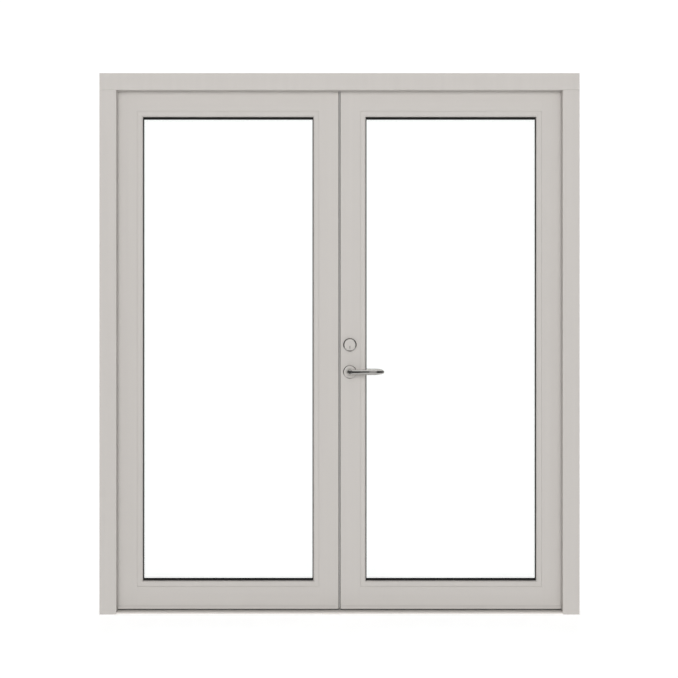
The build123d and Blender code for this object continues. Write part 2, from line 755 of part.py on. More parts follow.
def make_leaf_seals(leaf, side):
    """Drip bar, sweep and meeting seal of a leaf."""
    drip_length = side * (stop_x - drip_end_gap - leaf_meeting_x - drip_end_gap)
    drip_back = leaf_front
    nose = leaf_front - drip_depth
    groove_y = leaf_front - drip_depth / 2
    with BuildPart() as drip_bar:
        outline = [
            (drip_back, leaf_lift),
            (groove_y, leaf_lift),
            (groove_y, leaf_lift + drip_groove),
            (groove_y - drip_groove / 2, leaf_lift + drip_groove),
            (groove_y - drip_groove / 2, leaf_lift),
            (nose, leaf_lift),
            (nose, leaf_lift + drip_nose),
            (leaf_front - drip_lip, leaf_lift + drip_height),
            (drip_back, leaf_lift + drip_height),
        ]
        prism(Plane.YZ.offset(side * (leaf_meeting_x + drip_end_gap)), outline, drip_length)
    save(drip_bar.part, f"{leaf}_drip_bar")

    with BuildPart() as sweep:
        middle = leaf_front + sweep_inset
        tip_z = threshold_top + slide_gap
        stem, tip, wide = seal_stem / 2, sweep_tip / 2, sweep_width / 2
        outline = [
            (middle - stem, leaf_lift + seal_stem_depth),
            (middle - stem, leaf_lift),
            (middle - wide, leaf_lift),
            (middle - tip, tip_z),
            (middle + tip, tip_z),
            (middle + wide, leaf_lift),
            (middle + stem, leaf_lift),
            (middle + stem, leaf_lift + seal_stem_depth),
        ]
        sweep_length = side * (leaf_hinge_x - leaf_meeting_x)
        prism(Plane.YZ.offset(side * leaf_meeting_x), outline, sweep_length)
    save(sweep.part, f"{leaf}_bottom_sweep")

    with BuildPart() as meeting_seal:
        origin = (side * leaf_meeting_x, leaf_front + meeting_seal_inset, leaf_lift)
        seal_plane = Plane(origin, x_dir=(0, side, 0), z_dir=(0, 0, 1))
        seal_height = meeting_gap / 2 - slide_gap
        bulb(
            seal_plane, meeting_seal_width, seal_height, seal_stem, seal_stem_depth, leaf_top - leaf_lift
        )
    save(meeting_seal.part, f"{leaf}_meeting_seal")


def make_leaf_hinges(leaf, side):
    """The hinge halves let into the edge of a leaf."""
    with BuildPart() as halves:
        for z in hinge_heights:
            add(hinge_half(side * hinge_x, z, side * leaf_hinge_x, -side, upper=True))
    save(halves.part, f"{leaf}_hinge_halves")


for leaf_name, leaf_side in sides:
    make_leaf_frame(leaf_name, leaf_side)
    make_glazing(leaf_name, leaf_side)
    make_leaf_seals(leaf_name, leaf_side)
    make_leaf_hinges(leaf_name, leaf_side)


def make_flush_bolt(name, end, up):
    """A flush bolt of the passive leaf: a round bolt with a thumb piece in the edge."""
    tip = end - up * rod_rest_gap
    foot = end - up * flush_bolt_length
    thumb_z = end - up * thumb_distance
    with BuildPart() as bolt:
        bar_along_z(flush_bolt_radius, flush_bolt_x, 0, (foot, tip))
        rims = bolt.edges().filter_by(GeomType.CIRCLE).sort_by(Axis.Z)
        chamfer(rims[-1] if up > 0 else rims[0], rod_arris)
        slab(
            (flush_bolt_x, -leaf_meeting_x - thumb_setback),
            (-thumb_width / 2, thumb_width / 2),
            (thumb_z - thumb_height / 2, thumb_z + thumb_height / 2),
        )
    save(bolt.part, name)


for bolt_name, (bolt_end, bolt_up) in zip(("top_flush_bolt", "bottom_flush_bolt"), flush_bolt_places()):
    make_flush_bolt(bolt_name, bolt_end, bolt_up)

# Plates over the flush bolts, with windows for the thumb pieces
with BuildPart() as flush_bolt_plates:
    plate_x = (-leaf_meeting_x - faceplate, -leaf_meeting_x)
    for end, up in flush_bolt_places():
        slab(plate_x, (-flush_plate_width / 2, flush_plate_width / 2), flush_plate_span(end, up))
        window_half = thumb_width / 2 + slide_gap
        slab(plate_x, (-window_half, window_half), thumb_window(end, up), Mode.SUBTRACT)
save(flush_bolt_plates.part, "flush_bolt_plates")

# Strike plate for the deadbolt in the edge of the passive leaf
with BuildPart() as strike_plate:
    slab(plate_x, (-strike_width / 2, strike_width / 2), strike_span())
    slab(plate_x, *deadbolt_window_spans(strike_clearance), mode=Mode.SUBTRACT)
save(strike_plate.part, "strike_plate")

# Faceplate along the edge of the active leaf
with BuildPart() as lock_faceplate:
    lock_plate_x = (leaf_meeting_x, faceplate_back)
    slab(lock_plate_x, (-faceplate_width / 2, faceplate_width / 2), (leaf_lift, leaf_top))
    slab(lock_plate_x, *deadbolt_window_spans(deadbolt_window), mode=Mode.SUBTRACT)
save(lock_faceplate.part, "lock_faceplate")

# Lock case, open towards the rods, with bearings for the follower and the bolt pinion
with BuildPart() as lock_case:
    case_half = case_thickness / 2
    inner_half = case_half - case_wall
    slab((case_front, case_back), (-case_half, case_half), (case_bottom, case_top))
    slab(
        (case_front, case_back - case_wall),
        (-inner_half, inner_half),
        (case_bottom + case_wall, case_top - case_wall),
        Mode.SUBTRACT,
    )
    for axis_z in (lever_height, plug_z):
        bearing_y = (-case_half, case_half)
        bar_along_y(journal_radius + journal_clearance, spindle_x, axis_z, bearing_y, Mode.SUBTRACT)
save(lock_case.part, "lock_case")


def tooth_half_width(pitch, height):
    """Half the width of a tooth at a height above its pitch line."""
    half_at_pitch = pitch / 4 - tooth_backlash_share * pitch / 2
    return half_at_pitch - height * math.tan(math.radians(tooth_flank_angle))


def make_pinion(teeth, radius, pitch, z):
    """A pinion on round journals, with straight-sided teeth and one tooth pointing along +X."""
    tip, root = tooth_addendum_share * pitch, tooth_root_share * pitch
    corners = ((-1, -root), (-1, tip), (1, tip), (1, -root))
    outline = []
    for i in range(teeth):
        for hand, height in corners:
            turn = 2 * math.pi * i / teeth + hand * tooth_half_width(pitch, height) / radius
            reach = radius + height
            outline.append((spindle_x + reach * math.cos(turn), z + reach * math.sin(turn)))
    prism(Plane.XZ.offset(rack_thickness / 2), outline, -rack_thickness)
    bar_along_y(journal_radius, spindle_x, z, (-case_thickness / 2, case_thickness / 2))


# Follower: the pinion that the spindle turns
with BuildPart() as lock_follower:
    make_pinion(rod_teeth, rod_pitch_radius, rod_tooth_pitch, lever_height)
    square_half = spindle_size / 2 + fit_gap
    slab(
        (spindle_x - square_half, spindle_x + square_half),
        (-case_thickness / 2, case_thickness / 2),
        (lever_height - square_half, lever_height + square_half),
        Mode.SUBTRACT,
    )
save(lock_follower.part, "lock_follower")

# Pinion that the cylinder's tailpiece turns to throw the deadbolt
with BuildPart() as bolt_pinion:
    make_pinion(bolt_teeth, bolt_pitch_radius, bolt_tooth_pitch, plug_z)
    slab(
        (spindle_x - tail_thickness / 2 - fit_gap, spindle_x + tail_thickness / 2 + fit_gap),
        (-case_thickness / 2, case_thickness / 2),
        (plug_z - tail_height / 2 - fit_gap, plug_z + tail_height / 2 + fit_gap),
        Mode.SUBTRACT,
    )
save(bolt_pinion.part, "bolt_pinion")


def rack_teeth(pitch, middle, span, place):
    """Rack teeth with gaps facing the middle; place maps (along, height) to X and Z."""
    tip, root = tooth_addendum_share * pitch, tooth_root_share * pitch
    first = math.ceil((span[0] + pitch / 2 - middle) / pitch)
    last = math.floor((span[1] - pitch / 2 - middle) / pitch)
    for i in range(first, last):
        centre = middle + (i + 1 / 2) * pitch
        corners = ((-1, -root), (-1, tip), (1, tip), (1, -root))
        outline = [
            place(centre + hand * tooth_half_width(pitch, height), height) for hand, height in corners
        ]
        prism(Plane.XZ.offset(rack_thickness / 2), outline, -rack_thickness)


def make_rod(name, hand):
    """A bolt rod along the edge: hand is 1 for the upper rod and -1 for the lower one."""
    rod_y = (-rod_width / 2, rod_width / 2)
    lug_y = (-rack_thickness / 2, rack_thickness / 2)
    pitch_x = spindle_x - hand * rod_pitch_radius
    root_x = pitch_x - hand * tooth_root_share * rod_tooth_pitch
    back_x = root_x - hand * rack_bar
    near_end = lever_height + hand * rack_margin
    far_end = lever_height - hand * (rod_throw + rack_margin)
    if hand > 0:
        lug = (near_end, near_end + lug_height)
        rack = (far_end, lug[1])
        bar_end, tip = lug[0], leaf_top - rod_rest_gap
    else:
        lug_top = lever_height - rod_throw - rack_margin - slide_gap - slide_gap
        lug = (lug_top - lug_height, lug_top)
        rack = (lug[0], far_end)
        bar_end, tip = lug[1], leaf_lift + rod_rest_gap
    with BuildPart() as rod:
        slab((rod_front, rod_back), rod_y, (bar_end, tip))
        end_face = rod.faces().sort_by(Axis.Z)[-1 if hand > 0 else 0]
        chamfer(end_face.edges(), rod_arris)
        slab((rod_front, back_x), lug_y, lug)
        slab((back_x, root_x), lug_y, rack)
        teeth_span = (min(near_end, far_end), max(near_end, far_end))
        rack_teeth(
            rod_tooth_pitch, lever_height, teeth_span, lambda along, height: (pitch_x + hand * height, along)
        )
        if hand > 0:
            window_y, window_z = deadbolt_window_spans(deadbolt_window)
            slab((rod_front, rod_back), window_y, (window_z[0] - rod_throw, window_z[1]), Mode.SUBTRACT)
    save(rod.part, name)


make_rod("upper_bolt_rod", 1)
make_rod("lower_bolt_rod", -1)

# Deadbolt with a rack on its tail, under the pinion
with BuildPart() as deadbolt:
    bolt_end = leaf_meeting_x + deadbolt_length
    slab(
        (leaf_meeting_x, bolt_end),
        (-deadbolt_thickness / 2, deadbolt_thickness / 2),
        (deadbolt_bottom, deadbolt_top),
    )
    chamfer(deadbolt.faces().sort_by(Axis.X)[0].edges(), rod_arris)
    rack_line = plug_z - bolt_pitch_radius
    rack_teeth(
        bolt_tooth_pitch,
        spindle_x,
        (bolt_end - deadbolt_rack, bolt_end),
        lambda along, height: (along, rack_line + height),
    )
save(deadbolt.part, "deadbolt")

lever_front = leaf_front - lever_projection

# Square spindle through both levers and the follower
with BuildPart() as spindle:
    spindle_end = leaf_back + rose_thickness + spindle_socket
    slab(
        (spindle_x - spindle_size / 2, spindle_x + spindle_size / 2),
        (-spindle_end, spindle_end),
        (lever_height - spindle_size / 2, lever_height + spindle_size / 2),
    )
save(spindle.part, "spindle")


# Lever: a round neck and a grip lofted through oval sections that turn back to the leaf at the tip
with BuildPart() as outer_lever:
    grip_sections = []
    for reach, height, thickness, rise, turn_back in grip_shares:
        section_thickness = thickness * lever_root_thickness
        middle_y = lever_front + grip_step + section_thickness / 2 + turn_back * lever_return
        middle_z = lever_height + rise * lever_root_height
        section_plane = Plane(
            (spindle_x + reach * lever_reach, middle_y, middle_z), x_dir=(0, 1, 0), z_dir=(1, 0, 0)
        )
        with BuildSketch(section_plane) as grip_section:
            Ellipse(section_thickness / 2, height * lever_root_height / 2)
        grip_sections.append(grip_section.sketch)
    loft(grip_sections)
    neck_outline = [
        (0, -lever_projection),
        (neck_radius, -lever_projection),
        (neck_radius, -rose_thickness),
        (0, -rose_thickness),
    ]
    with BuildSketch(Plane((spindle_x, leaf_front, lever_height), x_dir=(1, 0, 0), z_dir=(0, 0, 1))) as neck:
        with BuildLine():
            Polyline(*neck_outline, close=True)
        make_face()
        front_corners = neck.vertices().group_by(Axis.Y)[0]
        fillet(front_corners.sort_by(Axis.X)[-1], neck_arris)
    revolve(neck.sketch, axis=Axis((spindle_x, leaf_front, lever_height), (0, 1, 0)))
    socket_half = spindle_size / 2 + fit_gap
    slab(
        (spindle_x - socket_half, spindle_x + socket_half),
        (-spindle_end, leaf_front),
        (lever_height - socket_half, lever_height + socket_half),
        Mode.SUBTRACT,
    )
save(outer_lever.part, "outer_lever")

with BuildPart() as inner_lever:
    add(mirror(outer_lever.part, about=Plane.XZ, mode=Mode.PRIVATE))
save(inner_lever.part, "inner_lever")


def make_rose(name, z, face_y, outward, bore_radius):
    """A round rose with a bevelled rim and a raised collar."""
    outline = [
        (bore_radius, 0),
        (rose_radius, 0),
        (rose_radius, rose_edge),
        (rose_radius - rose_bevel, rose_thickness),
        (collar_radius, rose_thickness),
        (collar_radius, rose_thickness + collar_height),
        (bore_radius, rose_thickness + collar_height),
    ]
    with BuildPart() as rose:
        turned(outline, spindle_x, z, face_y, outward)
    save(rose.part, name)


make_rose("outer_rose", lever_height, leaf_front, -1, neck_radius + slide_gap)
make_rose("inner_rose", lever_height, leaf_back, 1, neck_radius + slide_gap)
make_rose("thumbturn_rose", plug_z, leaf_back, 1, turn_stem_radius + slide_gap)

# Ring round the lock cylinder
with BuildPart() as cylinder_ring:
    ring_outline = [
        (cylinder_radius + fit_gap, 0),
        (rose_radius, 0),
        (rose_radius, ring_edge),
        (cylinder_radius + ring_rim, ring_height),
        (cylinder_radius + fit_gap, ring_height),
    ]
    turned(ring_outline, spindle_x, cylinder_z, leaf_front, -1)
save(cylinder_ring.part, "cylinder_ring")

# Cylinder body: a round head in the ring and a shank into the stile, bored for the plug
cylinder_face = leaf_front - ring_height + cylinder_inset
shank_end = -case_thickness / 2 - slide_gap
with BuildPart() as cylinder_body:
    bar_along_y(cylinder_radius, spindle_x, cylinder_z, (cylinder_face, leaf_front))
    chamfer(cylinder_body.edges().filter_by(GeomType.CIRCLE).sort_by(Axis.Y)[0], cylinder_inset)
    shank_z = cylinder_z - plug_drop / 2
    bar_along_y(shank_radius, spindle_x, shank_z, (leaf_front, shank_end))
    plug_bore = plug_radius + plug_clearance
    bar_along_y(plug_bore, spindle_x, plug_z, (cylinder_face, shank_end), Mode.SUBTRACT)
save(cylinder_body.part, "cylinder_body")

# Key plug with its slot
with BuildPart() as key_plug:
    bar_along_y(plug_radius, spindle_x, plug_z, (cylinder_face, shank_end))
    chamfer(key_plug.edges().filter_by(GeomType.CIRCLE).sort_by(Axis.Y)[0], cylinder_inset)
    slab(
        (spindle_x - key_slot_width / 2, spindle_x + key_slot_width / 2),
        (cylinder_face, cylinder_face + key_slot_depth),
        (plug_z - key_slot_height / 2, plug_z + key_slot_height / 2),
        Mode.SUBTRACT,
    )
save(key_plug.part, "key_plug")

# Tailpiece: the blade from the plug through the bolt pinion to the thumbturn
turn_face = leaf_back + rose_thickness + collar_height
with BuildPart() as tailpiece:
    slab(
        (spindle_x - tail_thickness / 2, spindle_x + tail_thickness / 2),
        (shank_end, turn_face),
        (plug_z - tail_height / 2, plug_z + tail_height / 2),
    )
save(tailpiece.part, "tailpiece")

# Thumbturn: an oval grip on a round stem that takes the tailpiece
with BuildPart() as thumbturn:
    grip_front = turn_face + turn_stem
    with BuildSketch(Plane.XZ.offset(-grip_front)) as turn_outline:
        with Locations((spindle_x, plug_z)):
            SlotOverall(turn_height, turn_width, rotation=90)
    extrude(turn_outline.sketch, amount=-turn_depth)
    fillet(thumbturn.faces().sort_by(Axis.Y)[-1].edges(), turn_arris)
    bar_along_y(turn_stem_radius, spindle_x, plug_z, (leaf_back, grip_front))
    slab(
        (spindle_x - tail_thickness / 2 - fit_gap, spindle_x + tail_thickness / 2 + fit_gap),
        (leaf_back, turn_face),
        (plug_z - tail_height / 2 - fit_gap, plug_z + tail_height / 2 + fit_gap),
        Mode.SUBTRACT,
    )
save(thumbturn.part, "thumbturn")
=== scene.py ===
"""French doors with their frame: dressed model, finishes, studio and camera."""

import logging
import math
from collections.abc import Callable
from dataclasses import dataclass
from enum import Enum

import bpy
import numpy as np
from bpy.types import Material, Node, NodeSocket, NodeTree, Object
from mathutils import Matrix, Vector


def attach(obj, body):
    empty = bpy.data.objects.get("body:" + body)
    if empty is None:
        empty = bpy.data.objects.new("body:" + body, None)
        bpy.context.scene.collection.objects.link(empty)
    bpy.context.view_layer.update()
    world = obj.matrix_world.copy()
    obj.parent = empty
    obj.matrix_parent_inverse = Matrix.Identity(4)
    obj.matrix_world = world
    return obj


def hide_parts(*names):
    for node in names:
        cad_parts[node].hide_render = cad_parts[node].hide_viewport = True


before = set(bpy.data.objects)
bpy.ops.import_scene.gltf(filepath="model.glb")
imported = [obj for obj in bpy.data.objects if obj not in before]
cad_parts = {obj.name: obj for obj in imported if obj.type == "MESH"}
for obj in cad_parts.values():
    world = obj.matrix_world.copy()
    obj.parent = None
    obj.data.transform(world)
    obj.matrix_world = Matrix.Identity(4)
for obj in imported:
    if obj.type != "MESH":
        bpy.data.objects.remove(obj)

LOG = logging.getLogger("french_doors")
MM = 0.001
FULL_TURN = 2.0 * math.pi
QUARTER_TURN = math.pi / 2.0
SHARP = 35.0

Array = np.ndarray
Pair = tuple[float, float]
Triple = tuple[float, float, float]
Mesh = tuple[Array, Array, Array]
Rule = Callable[[Array, Array], Array]

LEFT, RIGHT = (-1.0, 0.0, 0.0), (1.0, 0.0, 0.0)
DOWN, UP = (0.0, 0.0, -1.0), (0.0, 0.0, 1.0)


class Body(str, Enum):
    """Moving bodies that carry new pieces."""

    FRAME = "frame"
    PASSIVE = "passive_leaf"
    ACTIVE = "active_leaf"
    LEVERS = "lever_set"
    KEY = "key_set"


class Slot(str, Enum):
    """Material slots of the new pieces, as the record names them."""

    HINGE = "hinge_steel"
    SATIN = "satin_metal"


class Run(Enum):
    """Direction that a finish is drawn along or a plate is thin in."""

    X = 0
    Y = 1
    Z = 2


def basis(normal: Triple) -> Array:
    """Rows of a right-handed frame whose third row is the normal.

    Args:
        normal: unit direction along one of the axes.

    Returns:
        A 3 by 3 array of two directions across the normal and the normal itself.
    """
    third = np.array(normal, float)
    first = np.array(UP if abs(third[2]) < 0.5 else RIGHT)
    return np.stack([first, np.cross(third, first), third])


def circle(count: int) -> tuple[Array, Array]:
    """Cosines and sines of a count of even steps round a circle."""
    angle = np.linspace(0.0, FULL_TURN, count, endpoint=False)
    return np.cos(angle), np.sin(angle)


def hollow(walls: tuple[Pair, Pair], across: Array, along: Array) -> Array:
    """Slot with soft walls, one inside and zero outside: the product of a fall across it and one along it.

    Each fall is 1 - t^2 (3 - 2 t), where t goes from 0 to 1 between the start and the end of the wall.

    Args:
        walls: start and end of the walls, across and along.
        across: place across the slot, from its middle.
        along: place along it, from its middle.

    Returns:
        Values from zero to one.
    """
    places = zip(walls, (across, along))
    steps = [np.clip((np.abs(x) - start) / (end - start), 0.0, 1.0) for (start, end), x in places]
    return np.prod([1.0 - t * t * (3.0 - 2.0 * t) for t in steps], axis=0)


def rounded(corners: list[Pair], radii: tuple[float, ...], steps: int = 7) -> Array:
    """Closed outline whose corners are rounded by quadratic curves.

    Each corner P with neighbours A and B becomes (1-s)^2 A' + 2 s (1-s) P + s^2 B', where A' and B' lie
    on the two sides at the corner's radius.

    Args:
        corners: corners of the outline in order.
        radii: length taken off the sides at each corner.
        steps: points along each corner.

    Returns:
        Points of the outline, steps for each corner.
    """
    point = np.array(corners, float)
    before, after = np.roll(point, 1, axis=0) - point, np.roll(point, -1, axis=0) - point
    reach = np.array(radii, float)[:, None]
    start = point + before / np.linalg.norm(before, axis=1, keepdims=True) * reach
    end = point + after / np.linalg.norm(after, axis=1, keepdims=True) * reach
    s = np.linspace(0.0, 1.0, steps)[None, :, None]
    arc = (1 - s) ** 2 * start[:, None] + 2 * s * (1 - s) * point[:, None] + s ** 2 * end[:, None]
    return arc.reshape(-1, 2)


def grid(points: Array, wrap_rows: bool = False) -> Mesh:
    """Closed mesh of a grid of points whose columns run round and whose rows run along.

    Args:
        points: rows by columns by 3 array; each row is a closed loop.
        wrap_rows: the last row joins the first; if not, both close on their middle points.

    Returns:
        Points, faces of four and faces of three, turned so that the faces point outwards.
    """
    rows, cols = points.shape[:2]
    r = np.arange(rows if wrap_rows else rows - 1)[:, None]
    c = np.arange(cols)[None, :]
    nr, nc = (r + 1) % rows, (c + 1) % cols
    quads = np.stack([r * cols + c, r * cols + nc, nr * cols + nc, nr * cols + c], -1).reshape(-1, 4)
    verts, tris = points.reshape(-1, 3), np.empty((0, 3), int)
    if not wrap_rows:
        ring = np.arange(cols)
        turn, last = (ring + 1) % cols, (rows - 1) * cols
        foot = np.stack([turn, ring, np.full(cols, rows * cols)], -1)
        head = np.stack([last + ring, last + turn, np.full(cols, rows * cols + 1)], -1)
        verts = np.concatenate([verts, [points[0].mean(0), points[-1].mean(0)]])
        tris = np.concatenate([foot, head])
    q = verts[quads] - verts.mean(0)
    fan = np.cross(q[:, 1], q[:, 2]) + np.cross(q[:, 2], q[:, 3])
    order = 1 if np.einsum("ij,ij->i", q[:, 0], fan).sum() >= 0 else -1
    return verts, quads[:, ::order], tris[:, ::order]


def join(parts: list[Mesh]) -> Mesh:
    """One mesh of several closed ones.

    Args:
        parts: the meshes.

    Returns:
        Their points and faces together.
    """
    start = np.cumsum([0] + [len(verts) for verts, _, _ in parts[:-1]])
    quads, tris = (np.concatenate([part[k] + at for part, at in zip(parts, start)]) for k in (1, 2))
    return np.concatenate([verts for verts, _, _ in parts]), quads, tris


def lathe(profile: Array, origin: Triple, normal: Triple, closed: bool = False, count: int = 96) -> Mesh:
    """Surface of revolution: a profile of radius and height turned about an axis.

    Args:
        profile: points of radius and height, in mm.
        origin: foot of the axis, in mm.
        normal: direction of the axis.
        closed: the profile is a closed outline, which leaves a hole in the middle.
        count: steps round the axis.

    Returns:
        The turned mesh.
    """
    cos, sin = circle(count)
    u, v, n = basis(normal)
    spokes = cos[:, None] * u + sin[:, None] * v
    points = profile[:, None, 0:1] * spokes[None] + profile[:, None, 1:2] * n + np.array(origin, float)
    return grid(points, wrap_rows=closed)


def plate(spans: tuple[Pair, Pair, Pair], thin: Run, corner: float, arris: float) -> Mesh:
    """Thin plate with rounded corners, its two faces eased by an arris.

    The rows are the full outline between two that are drawn in by the arris, at the faces.

    Args:
        spans: start and end along x, y and z, in mm.
        thin: direction of the plate's thickness.
        corner: rounding of the corners.
        arris: easing of its edges.

    Returns:
        The plate's mesh.
    """
    first, second = (run.value for run in Run if run is not thin)
    a, b = spans[first], spans[second]
    outline = rounded([(a[0], b[0]), (a[1], b[0]), (a[1], b[1]), (a[0], b[1])], (corner,) * 4)
    middle = (outline.max(0) + outline.min(0)) / 2.0
    half = (outline.max(0) - outline.min(0)) / 2.0
    inner = middle + (outline - middle) * (half - arris) / half
    rows = np.stack([inner, outline, outline, inner])
    low, high = spans[thin.value]
    points = np.zeros((len(rows), len(outline), 3))
    points[..., [first, second]] = rows
    points[..., thin.value] = np.array([low, low + arris, high - arris, high])[:, None]
    return grid(points)


def put(name: str, mesh: Mesh, body: Body, material: Material, instead: tuple[str, ...] = (),
        sharp: float = SHARP, second: tuple[Material, Rule] | None = None) -> Object:
    """Place a mesh in the scene on its body.

    Args:
        name: name of the piece.
        mesh: points in mm, and faces.
        body: body it rides on.
        material: its finish.
        instead: CAD nodes it stands in for.
        sharp: edges above this angle stay sharp, in degrees.
        second: another finish, and the rule that picks its faces by their middles in mm and their normals.

    Returns:
        The new object.
    """
    verts, quads, tris = mesh
    data = bpy.data.meshes.new(name)
    data.from_pydata((verts * MM).tolist(), [], quads.tolist() + tris.tolist())
    data.polygons.foreach_set("use_smooth", np.ones(len(data.polygons), bool))
    data.set_sharp_from_angle(angle=math.radians(sharp))
    data.materials.append(material)
    data.validate()
    data.update()
    if second:
        data.materials.append(second[0])
        middle, normal = np.empty((2, len(data.polygons), 3))
        data.polygons.foreach_get("center", middle.ravel())
        data.polygons.foreach_get("normal", normal.ravel())
        data.polygons.foreach_set("material_index", second[1](middle / MM, normal).astype(np.int32))
    obj = bpy.data.objects.new(name, data)
    bpy.context.scene.collection.objects.link(obj)
    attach(obj, body.value)
    if instead:
        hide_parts(*instead)
    return obj


class Nodes:
    """Adds nodes to one node tree."""

    def __init__(self, tree: NodeTree) -> None:
        """Keep the tree to fill."""
        self.tree = tree

    def add(self, kind: str, inputs: dict[str | int, object] | None = None, **options: object) -> Node:
        """Add a node, set its options and feed its inputs.

        Args:
            kind: type of the node, without the prefix that all shader nodes share.
            inputs: a value or another node's output for each input named.
            options: settings of the node.

        Returns:
            The node.
        """
        node = self.tree.nodes.new(f"ShaderNode{kind}")
        for label, value in options.items():
            setattr(node, label, value)
        self.feed(node, inputs or {})
        return node

    def feed(self, node: Node, inputs: dict[str | int, object]) -> None:
        """Set or link the inputs of a node.

        Args:
            node: the node.
            inputs: a value or another node's output for each input named.
        """
        for label, value in inputs.items():
            if isinstance(value, NodeSocket):
                self.tree.links.new(value, node.inputs[label])
            else:
                node.inputs[label].default_value = value

    @staticmethod
    def grey(value: float) -> tuple[float, float, float, float]:
        """Opaque grey of one linear value."""
        return (value, value, value, 1.0)

    def math(self, operation: str, *values: object) -> NodeSocket:
        """Result of an operation on one or two numbers or other nodes' outputs."""
        return self.add("Math", dict(enumerate(values)), operation=operation).outputs[0]

    def span(self, value: NodeSocket, old: Pair, new: Pair = (0.0, 1.0), kind: str = "LINEAR") -> NodeSocket:
        """Value moved from an old span onto a new one and held there, by a kind of rise."""
        ends = {"From Min": old[0], "From Max": old[1], "To Min": new[0], "To Max": new[1]}
        return self.add("MapRange", {"Value": value, **ends}, interpolation_type=kind).outputs["Result"]

    def blend(self, share: NodeSocket, first: object, second: object) -> NodeSocket:
        """Colour mixed of two colours or outputs by the share of the second."""
        return self.add("Mix", {0: share, 6: first, 7: second}, data_type="RGBA").outputs[2]

    def shade(self, share: NodeSocket, first: Node, second: Node) -> Node:
        """Shader mixed of two shaders by the share of the second."""
        return self.add("MixShader", {0: share, 1: first.outputs[0], 2: second.outputs[0]})

    def lit(self, albedo: float, strength: float) -> Node:
        """Matt white of an albedo that also gives light of its own, of a strength."""
        matt = self.add("BsdfDiffuse", {"Color": self.grey(albedo)}).outputs[0]
        return self.add("AddShader", {0: matt, 1: self.add("Emission", {"Strength": strength}).outputs[0]})

    def steps(self, value: NodeSocket, stops: tuple[Pair, ...]) -> NodeSocket:
        """Add a ramp of grey values.

        Args:
            value: place along the ramp, from zero to one.
            stops: place and grey value of each stop.

        Returns:
            The grey colour at the place.
        """
        node = self.add("ValToRGB", {"Fac": value})
        elements = node.color_ramp.elements
        ready = len(elements)
        for index, (place, tone) in enumerate(stops):
            stop = elements[index] if index < ready else elements.new(place)
            stop.position = place
            stop.color = self.grey(tone)
        return node.outputs["Color"]


class NodeGroups:
    """Shader node groups that the finishes share."""

    NOISE = (0.3, 0.7)
    RELIEF_HEIGHT = 0.0002
    INPUTS = (("Vector", "Vector"), ("Stretch", "Vector"), ("Tone spread", "Float"),
              ("Roughness spread", "Float"), ("Relief", "Float"))
    OUTPUTS = (("Tone", "Float"), ("Roughness", "Float"), ("Normal", "Vector"))

    def __init__(self) -> None:
        """Build the two groups: long marks, as a brush leaves them, and the even grain of a coat."""
        self.streaks = self._grain("drawn_marks", (40.0, 2.0), (900.0, 3.0))
        self.speckle = self._grain("even_grain", (9.0, 2.0), (1400.0, 2.0))

    def _grain(self, name: str, broad: Pair, fine: Pair) -> NodeTree:
        """Make a group with Tone, Roughness and Normal outputs.

        Tone is a broad noise and Roughness a fine one, both moved to -1 to 1 and scaled by their spreads.
        Normal is the relief of the fine noise. Stretch is small along the marks and one across them.

        Args:
            name: name of the group.
            broad: scale and detail of the broad noise.
            fine: scale and detail of the fine noise.

        Returns:
            The group.
        """
        tree = bpy.data.node_groups.new(name, "ShaderNodeTree")
        for way, sockets in (("INPUT", self.INPUTS), ("OUTPUT", self.OUTPUTS)):
            for label, kind in sockets:
                tree.interface.new_socket(label, in_out=way, socket_type=f"NodeSocket{kind}")
        nodes, given = Nodes(tree), tree.nodes.new("NodeGroupInput").outputs
        place = nodes.add("VectorMath", {0: given["Vector"], 1: given["Stretch"]}, operation="MULTIPLY")
        noises = [nodes.add("TexNoise", {"Vector": place.outputs["Vector"], "Scale": scale, "Detail": detail})
                  for scale, detail in (broad, fine)]
        result = {}
        for label, noise in zip(("Tone", "Roughness"), noises):
            even = nodes.span(noise.outputs["Fac"], self.NOISE, (-1.0, 1.0))
            result[label] = nodes.math("MULTIPLY", even, given[f"{label} spread"])
        bump = nodes.add("Bump", {"Distance": self.RELIEF_HEIGHT, "Strength": given["Relief"],
                                  "Height": noises[1].outputs["Fac"]})
        nodes.feed(tree.nodes.new("NodeGroupOutput"), {**result, "Normal": bump.outputs["Normal"]})
        return tree


def grained(name: str, colour: Triple, group: NodeTree,
            values: dict[str, object]) -> tuple[Material, Nodes, Node, Node]:
    """Material whose base colour varies with a shared group.

    Args:
        name: its name.
        colour: linear base colour.
        group: the shared group.
        values: the group's own values in this material.

    Returns:
        The material, its tree, its shader and the group's node.
    """
    mat = bpy.data.materials.new(name)
    mat.use_nodes = True
    nodes = Nodes(mat.node_tree)
    shader = nodes.tree.nodes["Principled BSDF"]
    place = nodes.add("TexCoord").outputs["Object"]
    grain = nodes.add("Group", {"Vector": place, **values}, node_tree=group)
    value = nodes.math("ADD", grain.outputs["Tone"], 1.0)
    tone = nodes.add("HueSaturation", {"Color": (*colour, 1.0), "Value": value})
    nodes.feed(shader, {"Base Color": tone.outputs["Color"]})
    return mat, nodes, shader, grain


